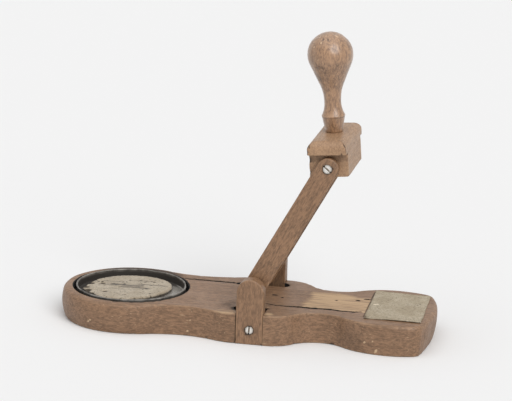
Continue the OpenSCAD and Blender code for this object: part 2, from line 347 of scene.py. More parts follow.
def facing(origin: Sequence[float], degrees: float, side: Side) -> Place:
    """A place whose first axis goes across, second leans from Z towards X and third points out.

    Args:
        origin: The place's origin.
        degrees: How far it leans.
        side: The side that it looks out from.

    Returns:
        The place.
    """
    c, s = math.cos(math.radians(degrees)), math.sin(math.radians(degrees))
    across = -side.sign * np.array([c, 0, -s])
    return Place(np.asarray(origin, float), np.array([across, [s, 0, c], [0, side.sign, 0]]))


# ---- Meshes ----


def tidied(mesh: Mesh) -> None:
    """Merges doubled points, drops faces with no area and turns every face outwards.

    Args:
        mesh: The mesh.
    """
    work = bmesh.new()
    work.from_mesh(mesh)
    bmesh.ops.remove_doubles(work, verts=work.verts, dist=MERGE_GAP)
    bmesh.ops.dissolve_degenerate(work, dist=LEAST_EDGE, edges=work.edges)
    bmesh.ops.recalc_face_normals(work, faces=work.faces)
    work.to_mesh(mesh)
    work.free()


def surface(name: str, rows: Points, place: Place = Place(), closed: bool = True) -> Piece:
    """Makes an object from rows of points, with four-sided faces between them.

    Args:
        name: The object's name.
        rows: Points in the place's own axes, in millimetres.
        place: Where they go.
        closed: Whether each row's last point joins its first.

    Returns:
        The object, in the scene.
    """
    count, width = rows.shape[:2]
    number = np.arange(count * width).reshape(count, width)
    beside = np.roll(number, -1, axis=1)
    faces = np.stack([number[:-1], beside[:-1], beside[1:], number[1:]], axis=-1)
    faces = (faces if closed else faces[:, :-1]).reshape(-1, 4)
    mesh = bpy.data.meshes.new(name)
    mesh.vertices.add(count * width)
    mesh.vertices.foreach_set("co", (place.put(rows.reshape(-1, 3)) * MM).astype(np.float32).ravel())
    mesh.loops.add(faces.size)
    mesh.loops.foreach_set("vertex_index", faces.astype(np.int32).ravel())
    mesh.polygons.add(len(faces))
    mesh.polygons.foreach_set("loop_start", np.arange(0, faces.size, 4, dtype=np.int32))
    mesh.update(calc_edges=True)
    if closed:
        tidied(mesh)
    piece = bpy.data.objects.new(name, mesh)
    bpy.context.scene.collection.objects.link(piece)
    return piece


def settle(piece: Piece) -> None:
    """Applies a piece's modifiers to its mesh.

    Args:
        piece: The piece.
    """
    graph = bpy.context.evaluated_depsgraph_get()
    made, old = bpy.data.meshes.new_from_object(piece.evaluated_get(graph)), piece.data
    piece.modifiers.clear()
    piece.data = made
    bpy.data.meshes.remove(old)
    made.name = piece.name


def carved(piece: Piece, tools: Sequence[Piece], inside: Material | None = None) -> None:
    """Cuts tools out of a piece and removes them.

    Args:
        piece: The piece to cut.
        tools: Closed meshes that don't touch one another; each cut is made in turn.
        inside: The material of the cut faces, if it isn't the piece's own.
    """
    for tool in tools:
        if inside:
            tool.data.materials.append(inside)
        cut = piece.modifiers.new(tool.name, "BOOLEAN")
        cut.object, cut.operation, cut.solver = tool, "DIFFERENCE", "EXACT"
        cut.material_mode = "TRANSFER"
    settle(piece)
    for tool in tools:
        bpy.data.objects.remove(tool)
    tidied(piece.data)


def joined(name: str, tools: Sequence[Piece]) -> Piece:
    """One object made of several that don't touch, so that one cut takes them all.

    Args:
        name: Its name.
        tools: The objects, which are removed.

    Returns:
        The object, in the scene.
    """
    work = bmesh.new()
    for tool in tools:
        work.from_mesh(tool.data)
    mesh = bpy.data.meshes.new(name)
    work.to_mesh(mesh)
    work.free()
    for tool in tools:
        bpy.data.objects.remove(tool)
    made = bpy.data.objects.new(name, mesh)
    bpy.context.scene.collection.objects.link(made)
    return made


def read(items: bpy.types.bpy_prop_collection, name: str, width: int = 1, kind: type = np.float32) -> Points:
    """One property of every vertex, edge, corner or face.

    Args:
        items: The vertices, edges, corners or faces.
        name: The property's name.
        width: How many numbers it has.
        kind: Their type.

    Returns:
        The numbers, with one row for each item.
    """
    made = np.empty(len(items) * width, kind)
    items.foreach_get(name, made)
    return made.reshape(-1, width) if width > 1 else made


def spots_of(mesh: Mesh) -> Points:
    """A mesh's points, in millimetres."""
    return read(mesh.vertices, "co", 3).astype(float) / MM


def painted(mesh: Mesh, name: str, values: Points) -> None:
    """Stores one number per point under a name that a material reads."""
    mesh.attributes.new(name, "FLOAT", "POINT").data.foreach_set("value", values.astype(np.float32))


def weathered(piece: Piece, depth: float, length: float, seed: int, dents: Rows = ()) -> None:
    """Sinks a piece's surface a little along its normals, as hand work and wear leave it.

    The sink is depth times (1 + w) / 2, w being the mean of eight sine waves of about the given
    length in drawn directions, and each dent adds its own depth times exp(-(distance / radius)^2).

    Args:
        piece: The piece, which only ever grows smaller.
        depth: The deepest sink of the waves.
        length: The length of a wave.
        seed: Fixes the drawn directions and phases.
        dents: Rows of (x, y, z, radius, depth).
    """
    mesh, rng = piece.data, np.random.default_rng(seed)
    spots, normals = spots_of(mesh), read(mesh.vertices, "normal", 3)
    ways = rng.normal(size=(8, 3))
    ways *= (2 * np.pi / length) * rng.uniform(0.6, 1.5, (8, 1)) / np.linalg.norm(ways, axis=1, keepdims=True)
    wave = np.sin(spots @ ways.T + rng.uniform(0, 2 * np.pi, 8)).mean(axis=1)
    sink = depth * held(0.5 + wave)
    if len(dents):
        sink = sink + blots(spots, dents)
    mesh.vertices.foreach_set("co", ((spots - normals * sink[:, None]) * MM).astype(np.float32).ravel())
    mesh.update()


def creased(mesh: Mesh) -> tuple[Points, Points]:
    """How much each point stands on an outer arris, and how much it lies in an inner corner.

    An edge's bend is the angle between its two faces over the distance between their centres,
    outer where the second face's centre lies below the first face's plane. A bend of one radian in
    two millimetres counts as full, and the number falls by exp(-distance / reach) along the edges.

    Args:
        mesh: The mesh.

    Returns:
        The outer and the inner number of each point, from 0 to 1.
    """
    edge = read(mesh.loops, "edge_index", kind=np.int32)
    sides = read(mesh.polygons, "loop_total", kind=np.int32)
    face = np.repeat(np.arange(len(sides)), sides)
    order = np.argsort(edge, kind="stable")
    same = edge[order][1:] == edge[order][:-1]
    one, two, both = face[order[:-1][same]], face[order[1:][same]], edge[order][:-1][same]
    normals, centres = read(mesh.polygons, "normal", 3), read(mesh.polygons, "center", 3) / MM
    ends = read(mesh.edges, "vertices", 2, np.int32)
    spots = spots_of(mesh)
    bend = np.arccos(np.clip((normals[one] * normals[two]).sum(1), -1, 1))
    apart = centres[two] - centres[one]
    bend = held(CREASE_FULL * bend / np.maximum(np.linalg.norm(apart, axis=1), 0.3))
    outer = (apart * normals[one]).sum(1) < 0
    fall = np.exp(-np.linalg.norm(spots[ends[:, 0]] - spots[ends[:, 1]], axis=1) / CREASE_REACH)
    found = []
    for chosen in (outer, ~outer):
        marks = np.zeros(len(spots))
        np.maximum.at(marks, ends[both].ravel(), np.repeat(np.where(chosen, bend, 0), 2))
        for _ in range(4):
            grown = marks.copy()
            np.maximum.at(grown, ends[:, 0], marks[ends[:, 1]] * fall)
            np.maximum.at(grown, ends[:, 1], marks[ends[:, 0]] * fall)
            marks = grown
        found.append(marks)
    return found[0], found[1]


def nicks(mesh: Mesh, count: int, seed: int, radius: tuple, depth: tuple) -> Points:
    """Draws dents on a mesh's outer arrises.

    Args:
        mesh: The mesh.
        count: How many dents.
        seed: Fixes the draw.
        radius: The least and the greatest radius.
        depth: The least and the greatest depth.

    Returns:
        Rows of (x, y, z, radius, depth) for weathered().
    """
    rng = np.random.default_rng(seed)
    spots, (outer, _) = spots_of(mesh), creased(mesh)
    chosen = rng.choice(len(spots), count, p=outer**2 / (outer**2).sum())
    return np.column_stack([spots[chosen], rng.uniform(*radius, count), rng.uniform(*depth, count)])


def ready(piece: Piece, body: str, node: str, material: Material) -> Piece:
    """Gives a finished mesh its marks, shading and material and lets it stand for its node.

    Args:
        piece: The piece.
        body: The body it moves with.
        node: The node it stands for.
        material: Its main material.

    Returns:
        The piece.
    """
    mesh = piece.data
    outer, inner = creased(mesh)
    painted(mesh, "outer", outer)
    painted(mesh, "inner", inner)
    if mesh.materials:
        mesh.materials[0] = material
    else:
        mesh.materials.append(material)
    mesh.shade_smooth()
    mesh.set_sharp_from_angle(angle=math.radians(SHARP_ANGLE))
    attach(piece, body)
    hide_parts(node)
    LOG.info("%s: %d faces, rides on %s", piece.name, len(mesh.polygons), body)
    return piece


# ---- Node trees ----


class Tree:
    """A node tree that is being filled.

    Attributes:
        tree: Blender's node tree.
    """

    def __init__(self, tree: Nodes) -> None:
        """Takes the tree to fill."""
        self.tree = tree

    def add(self, kind: str, sockets: dict | None = None, **settings: object) -> Node:
        """Adds a node.

        Args:
            kind: Blender's name for it, without ShaderNode in front.
            sockets: What goes into its inputs, by name or number: a socket or a value.
            settings: Its other settings.

        Returns:
            The node.
        """
        made = self.tree.nodes.new("ShaderNode" + kind)
        for name, value in settings.items():
            setattr(made, name, value)
        for name, value in (sockets or {}).items():
            if isinstance(value, Socket):
                self.tree.links.new(value, made.inputs[name])
            else:
                made.inputs[name].default_value = value
        return made

    def mapped(
        self, vector: Socket, scale: Sequence = (1, 1, 1), turn: Sequence = (0, 0, 0),
        shift: Sequence = (0, 0, 0)
    ) -> Socket:
        """A vector stretched, turned and moved."""
        given = {"Vector": vector, "Scale": scale, "Rotation": turn, "Location": shift}
        return self.add("Mapping", given).outputs[0]

    def noise(
        self, vector: Socket, scale: float, detail: float = 2.0, rough: float = 0.5, twist: float = 0.0
    ) -> Socket:
        """Noise of so many blotches per millimetre, about 0.5."""
        values = {"Vector": vector, "Scale": scale, "Detail": detail, "Roughness": rough, "Distortion": twist}
        return self.add("TexNoise", values).outputs[0]

    def band(self, value: Socket, low: float, high: float, floor: float = 0.0, top: float = 1.0) -> Socket:
        """A value brought smoothly from low ... high to floor ... top, and no further."""
        values = {"Value": value, "From Min": low, "From Max": high, "To Min": floor, "To Max": top}
        return self.add("MapRange", values, interpolation_type="SMOOTHSTEP").outputs[0]

    def math(self, operation: str, one: Socket | float, two: Socket | float = 0.0) -> Socket:
        """One sum on two numbers, kept within 0 and 1."""
        return self.add("Math", {0: one, 1: two}, operation=operation, use_clamp=True).outputs[0]

    def times(self, one: Socket | float, two: Socket | float) -> Socket:
        """One number times another, kept within 0 and 1."""
        return self.math("MULTIPLY", one, two)

    def mixed(
        self, share: Socket | float, one: Socket | Sequence, two: Socket | Sequence, mode: str = "MIX"
    ) -> Socket:
        """Two colours mixed."""
        values = {0: share, 6: one, 7: two}
        return self.add("Mix", values, data_type="RGBA", blend_type=mode, clamp_factor=True).outputs[2]

    def between(self, share: Socket, one: Socket | float, two: Socket | float) -> Socket:
        """Two numbers mixed."""
        return self.add("Mix", {0: share, 2: one, 3: two}, data_type="FLOAT").outputs[0]

    def mark(self, name: str) -> Socket:
        """A number stored on the piece's points."""
        return self.add("Attribute", attribute_name=name, attribute_type="GEOMETRY").outputs["Fac"]

    def placed(self, turn: Sequence = (0, 0, 0)) -> Socket:
        """The piece's own coordinates in millimetres, turned so that its grain runs along X."""
        own = self.add("TexCoord").outputs["Object"]
        return self.mapped(own, (1 / MM,) * 3, [math.radians(a) for a in turn])

    def use(self, effect: "Effect", **given: "Socket | float | Colour") -> dict[str, Socket]:
        """Places a shared effect.

        Args:
            effect: Which one.
            given: What goes into it, by name.

        Returns:
            Its outputs by name.
        """
        sockets = {
            name: opaque(value) if isinstance(value, tuple) else value for name, value in given.items()
        }
        node = self.add("Group", sockets, node_tree=effect.group())
        return {s.name: s for s in node.outputs}


class Effect(Enum):
    """An effect that several materials share; its node group is made the first time it is used."""

    GRAIN = "grain"
    RUBBED = "rubbed"
    SOILED_AND_SHADED = "soiled_and_shaded"
    SCRATCHED = "scratched"
    TARNISH = "tarnish"
    FIBRES = "fibres"

    def group(self) -> Nodes:
        """The effect's node group."""
        return bpy.data.node_groups.get(self.value) or GROUPS[self]()


COLOURED = {"Color", "Pale", "Dark", "Bare", "Dirt", "Bright", "Stain", "Aged"}  # sockets that are colours


def new_group(effect: Effect, inputs: str, outputs: str) -> tuple[Tree, dict[str, Socket], Node]:
    """Starts a node group.

    Args:
        effect: The effect.
        inputs: The inputs' names: Vector is one, those in COLOURED are colours, the rest numbers.
        outputs: The outputs' names.

    Returns:
        The tree, its inputs by name, and the node that takes its outputs.
    """
    group = bpy.data.node_groups.new(effect.value, "ShaderNodeTree")
    for way, names in (("INPUT", inputs), ("OUTPUT", outputs)):
        for label in names.split():
            kind = "Vector" if label == "Vector" else "Color" if label in COLOURED else "Float"
            group.interface.new_socket(label, in_out=way, socket_type="NodeSocket" + kind)
    entry, leave = group.nodes.new("NodeGroupInput"), group.nodes.new("NodeGroupOutput")
    return Tree(group), {s.name: s for s in entry.outputs if s.name}, leave


def send(tree: Tree, leave: Node, **outputs: Socket) -> Nodes:
    """Joins a group's results to its outputs.

    Args:
        tree: The group's tree.
        leave: The node that takes its outputs.
        outputs: The results by name.

    Returns:
        The group.
    """
    for name, socket in outputs.items():
        tree.tree.links.new(socket, leave.inputs[name])
    return tree.tree


PORE_BROWN: Colour = (0.016, 0.010, 0.007)
FLECK_BROWN: Colour = (0.06, 0.045, 0.032)
SPECK_BLACK: Colour = (0.035, 0.028, 0.022)


def opaque(colour: Colour) -> tuple[float, float, float, float]:
    """A colour with its fourth number."""
    return (*colour, 1.0)


def grain() -> Nodes:
    """Wood along X: broad figure, fine fibres, short pores and a slow drift of tone.

    Returns:
        The group.
    """
    t, given, leave = new_group(Effect.GRAIN, "Vector Pale Dark Figure Pores", "Color Tone Height")
    sway = t.add(
        "TexNoise", {"Vector": t.mapped(given["Vector"], (0.012, 0.05, 0.05)), "Scale": 1.0, "Detail": 1.0}
    )
    bent = t.add("VectorMath", {0: given["Vector"], 1: sway.outputs[1]}, operation="ADD").outputs[0]
    figure = t.noise(t.mapped(bent, (0.018, 0.34, 0.34)), 1.0, 4.0, 0.55, 0.9)
    fibres = t.noise(t.mapped(bent, (0.05, 2.2, 2.2)), 1.0, 3.0, 0.6)
    drift = t.noise(given["Vector"], 0.035, 3.0, 0.5)
    pores = t.noise(t.mapped(bent, (0.22, 3.4, 3.4), shift=(3, 5, 7)), 1.0, 1.0, 0.4)
    pores = t.times(t.band(pores, 0.6, 0.74), given["Pores"])
    tone = t.between(given["Figure"], fibres, t.band(figure, 0.3, 0.7))
    tone = t.math("ADD", t.times(tone, 0.68), t.times(t.band(drift, 0.25, 0.75), 0.32))
    colour = t.mixed(tone, given["Dark"], given["Pale"])
    dust = t.noise(t.mapped(bent, (0.2, 0.75, 0.75), shift=(9, 2, 4)), 1.0, 4.0, 0.75)
    colour = t.mixed(t.band(dust, 0.5, 0.62, 0.0, 0.85), colour, given["Pale"])
    colour = t.mixed(t.band(dust, 0.5, 0.36, 0.0, 0.95), colour, given["Dark"])
    colour = t.mixed(t.times(pores, 0.62), colour, opaque(PORE_BROWN))
    height = t.math("SUBTRACT", t.times(fibres, 0.6), t.times(pores, 0.5))
    return send(t, leave, Color=colour, Tone=tone, Height=height)


def rubbed() -> Nodes:
    """Arrises rubbed paler and smoother where hands and tables touch them, broken up by noise.

    Returns:
        The group.
    """
    t, given, leave = new_group(Effect.RUBBED, "Vector Color Rough Where Bare Amount", "Color Rough")
    patch = t.band(t.noise(given["Vector"], 0.11, 4.0, 0.6), 0.32, 0.68, 0.15, 1.0)
    where = t.times(t.band(given["Where"], 0.25, 0.95), patch)
    where = t.times(where, given["Amount"])
    rough = t.between(where, given["Rough"], t.times(given["Rough"], 0.72))
    return send(t, leave, Color=t.mixed(where, given["Color"], given["Bare"]), Rough=rough)


def soiled_and_shaded() -> Nodes:
    """Dark, dull dirt and painted shade that keep to a mask and break up at their edges.

    Returns:
        The group.
    """
    t, given, leave = new_group(Effect.SOILED_AND_SHADED, "Vector Color Rough Where Dirt", "Color Rough")
    cloud = t.noise(given["Vector"], 0.32, 5.0, 0.62)
    where = t.band(t.math("ADD", given["Where"], t.times(cloud, 0.5)), 0.42, 1.15)
    rough = t.between(where, given["Rough"], 0.82)
    return send(t, leave, Color=t.mixed(where, given["Color"], given["Dirt"]), Rough=rough)


def scratched() -> Nodes:
    """Sparse short scratches and bruises, pale where the finish has broken.

    Returns:
        The group.
    """
    t, given, leave = new_group(Effect.SCRATCHED, "Vector Color Bare Amount Chips", "Color Height")
    lines = []
    for turn, shift in (((0.3, 0.2, 0.9), (0, 0, 0)), ((1.1, 0.4, -0.6), (40, 20, 60))):
        long = t.noise(t.mapped(given["Vector"], (0.16, 1.5, 1.5), turn, shift), 1.0, 1.0, 0.3)
        few = t.noise(given["Vector"], 0.09, 2.0, 0.5)
        lines.append(t.times(t.band(long, 0.715, 0.77), t.band(few, 0.46, 0.6)))
    lines.append(t.times(t.math("MAXIMUM", lines[0], lines[1]), given["Amount"]))
    chip = t.math("SUBTRACT", given["Chips"], t.times(t.noise(given["Vector"], 1.1, 2.0, 0.6), 0.6))
    where = t.math("MAXIMUM", lines[2], t.band(chip, 0.05, 0.3))
    return send(
        t, leave, Color=t.mixed(where, given["Color"], given["Bare"]), Height=t.math("SUBTRACT", 1.0, where)
    )


def tarnish() -> Nodes:
    """Metal that is bright in places and stained in others, with fine pits.

    Returns:
        The group.
    """
    t, given, leave = new_group(Effect.TARNISH, "Vector Bright Stain Where Pitch", "Color Rough Height")
    sized = t.add("VectorMath", {0: given["Vector"], "Scale": given["Pitch"]}, operation="SCALE").outputs[0]
    cloud, pits = t.noise(sized, 1.0, 6.0, 0.65, 0.4), t.noise(sized, 7.0, 2.0, 0.5)
    where = t.band(t.math("ADD", t.times(cloud, 0.7), t.times(given["Where"], 0.6)), 0.3, 0.72)
    pitted = t.band(pits, 0.55, 0.75)
    colour = t.mixed(where, given["Bright"], given["Stain"])
    colour = t.mixed(t.times(pitted, 0.4), colour, given["Stain"])
    rough = t.add("MapRange", {"Value": where, "To Min": 0.24, "To Max": 0.62}).outputs[0]
    height = t.math("SUBTRACT", cloud, t.times(pitted, 0.6))
    return send(t, leave, Color=colour, Rough=rough, Height=height)


def fibres() -> Nodes:
    """Felt or paper: matted threads, clouds of age and small dark specks.

    Returns:
        The group.
    """
    t, given, leave = new_group(Effect.FIBRES, "Vector Pale Aged Fine Specks", "Color Height")
    sized = t.add("VectorMath", {0: given["Vector"], "Scale": given["Fine"]}, operation="SCALE").outputs[0]
    threads = [t.noise(t.mapped(sized, way), 1.0, 3.0, 0.6, 1.2) for way in ((0.25, 1.6, 1), (1.6, 0.25, 1))]
    mat = t.math("MAXIMUM", *threads)
    age = t.noise(given["Vector"], 0.07, 5.0, 0.6)
    colour = t.mixed(t.band(age, 0.4, 0.62), given["Pale"], given["Aged"])
    colour = t.mixed(t.band(mat, 0.45, 0.7, 0.0, 1.0), given["Aged"], colour)
    fleck = t.times(t.band(t.noise(given["Vector"], 0.5, 5.0, 0.8), 0.52, 0.3, 0.0, 0.55), given["Specks"])
    colour = t.mixed(fleck, colour, opaque(FLECK_BROWN))
    specks = t.times(t.band(t.noise(given["Vector"], 0.62, 2.0, 0.6), 0.63, 0.7), given["Specks"])
    return send(t, leave, Color=t.mixed(specks, colour, opaque(SPECK_BLACK)), Height=mat)


GROUPS = dict(zip(Effect, (grain, rubbed, soiled_and_shaded, scratched, tarnish, fibres)))


def new_material(name: str) -> tuple[Material, Tree, Node]:
    """A new material with its shader, joined to the output.

    Args:
        name: The material's name.

    Returns:
        The material, its tree and its shader.
    """
    material = bpy.data.materials.new(name)
    material.use_nodes = True
    material.node_tree.nodes.clear()
    t = Tree(material.node_tree)
    shader = t.add("BsdfPrincipled")
    t.tree.links.new(shader.outputs[0], t.add("OutputMaterial").inputs[0])
    return material, t, shader


# ---- Finishes ----


def laid_on(
    t: Tree, shader: Node, skin: dict[str, Socket], height: Socket, strength: float, relief: float
) -> None:
    """Joins a finish's colour, roughness and relief to its shader.

    Args:
        t: The material's tree.
        shader: Its shader.
        skin: The sockets of its Color and its Rough.
        height: The socket of its height.
        strength: The share of the relief that shows.
        relief: The relief's depth, in millimetres.
    """
    bump = t.add("Bump", {"Strength": strength, "Distance": relief * MM, "Height": height})
    t.tree.links.new(skin["Color"], shader.inputs["Base Color"])
    t.tree.links.new(skin["Rough"], shader.inputs["Roughness"])
    t.tree.links.new(bump.outputs[0], shader.inputs["Normal"])


@dataclass(frozen=True)
class Wood:
    """Old wood with grain, rubbed arrises, dirt and scratches.

    Attributes:
        name: The material's name.
        pale: The colour of the soft wood.
        dark: The colour of the hard wood.
        bare: The colour where the finish is rubbed off.
        turn: The turn that lays the grain along X, in degrees.
        rough: The surface's roughness.
        coat: The share of varnish left.
        coat_rough: The varnish's roughness.
        relief: The depth of its pores and scratches, in millimetres.
        figure: How far the broad figure shows over the fine fibres.
        pores: How dark the pores are.
        soil_and_shade: How much dirt and painted shade there is where no mark says so.
        scars: How much the scratches show.
        rub: How much of the finish is rubbed off the arrises.
    """

    name: str
    pale: Colour
    dark: Colour
    bare: Colour
    turn: tuple[float, float, float] = (0, 0, 0)
    rough: float = 0.5
    coat: float = 0.0
    coat_rough: float = 0.36
    relief: float = 0.15
    figure: float = 0.5
    pores: float = 0.6
    soil_and_shade: float = 0.0
    scars: float = 0.6
    rub: float = 0.2

    def material(self, bleached: bool = False) -> Material:
        """Makes the material.

        Args:
            bleached: Whether the piece has that mark, for bare wood and for painted light.

        Returns:
            The material.
        """
        material, t, shader = new_material(self.name)
        where = t.placed(self.turn)
        wood = t.use(
            Effect.GRAIN, Vector=where, Pale=self.pale, Dark=self.dark, Figure=self.figure, Pores=self.pores
        )
        colour, rough = wood["Color"], t.band(wood["Tone"], 0.2, 0.8, self.rough + 0.08, self.rough - 0.06)
        if bleached:
            # The bleached mark pales bare wood and also paints light beside the front cheek.
            streaks = t.noise(t.mapped(where, (0.03, 0.42, 0.42)), 1.0, 5.0, 0.62)
            worn = t.add(
                "Math", {0: t.mark("bleached"), 1: t.times(streaks, 0.9)}, operation="ADD"
            ).outputs[0]
            worn = t.times(t.band(worn, 0.58, 1.12), t.band(streaks, 0.36, 0.54, 0.3, 1.0))
            colour = t.mixed(worn, colour, opaque(self.bare))
            rough = t.between(worn, rough, 0.78)
        hurt = t.use(
            Effect.SCRATCHED, Vector=where, Color=colour, Bare=self.bare, Amount=self.scars,
            Chips=t.mark("chips")
        )
        edge = t.use(
            Effect.RUBBED, Vector=where, Color=hurt["Color"], Rough=rough, Where=t.mark("outer"),
            Bare=self.bare, Amount=self.rub
        )
        # Inner corners are darkened as painted shade; the marks and the level add dirt and painted shade.
        dirt = t.math("ADD", t.times(t.mark("inner"), 0.8), t.math("ADD", t.mark("soil_and_shade"), self.soil_and_shade))
        film = t.use(
            Effect.SOILED_AND_SHADED, Vector=where, Color=edge["Color"], Rough=edge["Rough"], Where=dirt,
            Dirt=tuple(0.16 * c for c in self.dark)
        )
        shader.inputs["Coat Weight"].default_value = self.coat
        shader.inputs["Coat Roughness"].default_value = self.coat_rough
        high = t.math("ADD", t.times(wood["Height"], 0.6), t.times(hurt["Height"], 0.4))
        laid_on(t, shader, film, high, 0.55, self.relief)
        return material


@dataclass(frozen=True)
class Metal:
    """Metal with a bright colour, a stain and pits.

    Attributes:
        name: The material's name.
        bright: The colour where it is clean.
        stain: The colour where it is stained.
        stained: How much is stained, from 0 to 1.
        pitch: How many stains there are per millimetre.
        metallic: How metallic it is.
        relief: The depth of its pits, in millimetres.
    """

    name: str
    bright: Colour
    stain: Colour
    stained: float
    pitch: float
    metallic: float = 1.0
    relief: float = 0.08

    def material(self, bared: bool = False) -> Material:
        """Makes the material.

        Args:
            bared: Whether the piece has a mark named bared, where the stain has worn off.

        Returns:
            The material.
        """
        material, t, shader = new_material(self.name)
        where = t.placed()
        hidden = t.math("ADD", t.mark("inner"), self.stained)
        if bared:
            hidden = t.math("SUBTRACT", hidden, t.mark("bared"))
        skin = t.use(
            Effect.TARNISH, Vector=where, Bright=self.bright, Stain=self.stain, Where=hidden, Pitch=self.pitch
        )
        edge = t.use(
            Effect.RUBBED, Vector=where, Color=skin["Color"], Rough=skin["Rough"], Where=t.mark("outer"),
            Bare=self.bright, Amount=0.7
        )
        shader.inputs["Metallic"].default_value = self.metallic
        laid_on(t, shader, edge, skin["Height"], 0.4, self.relief)
        return material


@dataclass(frozen=True)
class Matted:
    """Felt or paper.

    Attributes:
        name: The material's name.
        pale: The colour where it is clean.
        aged: The colour where it is aged.
        dirt: The colour of its stains and of its painted shade.
        fine: How many threads there are per millimetre.
        specks: How dark the specks are.
        relief: The height of the threads, in millimetres.
        sheen: How fuzzy its surface is.
    """

    name: str
    pale: Colour
    aged: Colour
    dirt: Colour
    fine: float
    specks: float
    relief: float
    sheen: float

    def material(self) -> Material:
        """Makes the material.

        Returns:
            The material.
        """
        material, t, shader = new_material(self.name)
        where = t.placed()
        mat = t.use(
            Effect.FIBRES, Vector=where, Pale=self.pale, Aged=self.aged, Fine=self.fine, Specks=self.specks
        )
        # The mark darkens the felt or paper with its dirt and with painted shade.
        film = t.use(
            Effect.SOILED_AND_SHADED, Vector=where, Color=mat["Color"], Rough=0.88, Where=t.mark("soil_and_shade"), Dirt=self.dirt
        )
        fresh = opaque(tuple(min(1.0, 1.6 * c) for c in self.pale))
        torn = t.mixed(t.band(t.mark("torn"), 0.3, 0.6), film["Color"], fresh)
        shader.inputs["Specular IOR Level"].default_value = 0.25
        shader.inputs["Sheen Weight"].default_value = self.sheen
        laid_on(t, shader, {"Color": torn, "Rough": film["Rough"]}, mat["Height"], 0.7, self.relief)
        return material


BOARD_WOOD = Wood(
    "old_board_wood", (0.305, 0.174, 0.096), (0.138, 0.077, 0.042), (0.53, 0.365, 0.220), rough=0.5,
    scars=0.8, rub=0.2
)
# Near-black wood inside every cut, hole and split: painted shade in the recesses, with grime.
CREVICE_SHADE = Wood(
    "old_crevice_shade", (0.030, 0.019, 0.012), (0.012, 0.008, 0.005), (0.05, 0.03, 0.02), rough=0.85, soil_and_shade=0.3,
    scars=0.0
)
CHEEK_WOOD = Wood(
    "old_cheek_wood", (0.305, 0.172, 0.093), (0.150, 0.083, 0.045), (0.46, 0.28, 0.15), turn=(0, 90, 0),
    rough=0.46, rub=0.2
)
ARM_WOOD = Wood(
    "old_arm_wood", (0.315, 0.177, 0.096), (0.142, 0.079, 0.043), (0.44, 0.27, 0.15), turn=(0, 61.3, 0),
    rough=0.44, figure=0.35, rub=0.12
)
HEAD_WOOD = Wood(
    "old_head_wood", (0.435, 0.266, 0.152), (0.255, 0.149, 0.083), (0.56, 0.36, 0.20), turn=(0, 0, -90),
    rough=0.45, figure=0.4, pores=0.45, scars=0.4, rub=0.12
)
HANDLE_WOOD = Wood(
    "old_handle_wood", (0.44, 0.252, 0.136), (0.165, 0.090, 0.048), (0.62, 0.42, 0.25), turn=(0, 95, 0),
    rough=0.4, coat=0.85, figure=0.65, soil_and_shade=0.0, scars=1.0, rub=0.2
)
SCREW_STEEL = Metal("old_screw_steel", (0.86, 0.84, 0.80), (0.30, 0.25, 0.20), -0.14, 0.9)
ROD_STEEL = Metal("old_rod_steel", (0.46, 0.45, 0.43), (0.16, 0.11, 0.075), 0.3, 0.5)
TIN_SHEET = Metal("old_tin_sheet", (0.36, 0.335, 0.30), (0.040, 0.034, 0.029), 0.64, 0.75, metallic=0.2)
TYPE_METAL = Metal("old_type_metal", (0.36, 0.35, 0.345), (0.06, 0.055, 0.05), 0.25, 0.4, metallic=0.8)
PAD_FELT = Matted(
    "old_pad_felt", (0.60, 0.525, 0.415), (0.40, 0.33, 0.24), (0.030, 0.022, 0.016), 1.4, 1.0, 0.25, 0.2
)
LABEL_PAPER = Matted(
    "old_label_paper", (0.60, 0.53, 0.415), (0.40, 0.335, 0.24), (0.11, 0.078, 0.050), 2.0, 0.8, 0.06, 0.0
)
MADE: dict[str, Material] = {}


# ---- Sub-assemblies ----


def joint_place(name: str) -> Points:
    """Where a joint's axis passes at rest, in millimetres."""
    found = next(j for j in frame["joints"] if j["name"] == name)
    return np.asarray(found["pos_m"], float) / MM


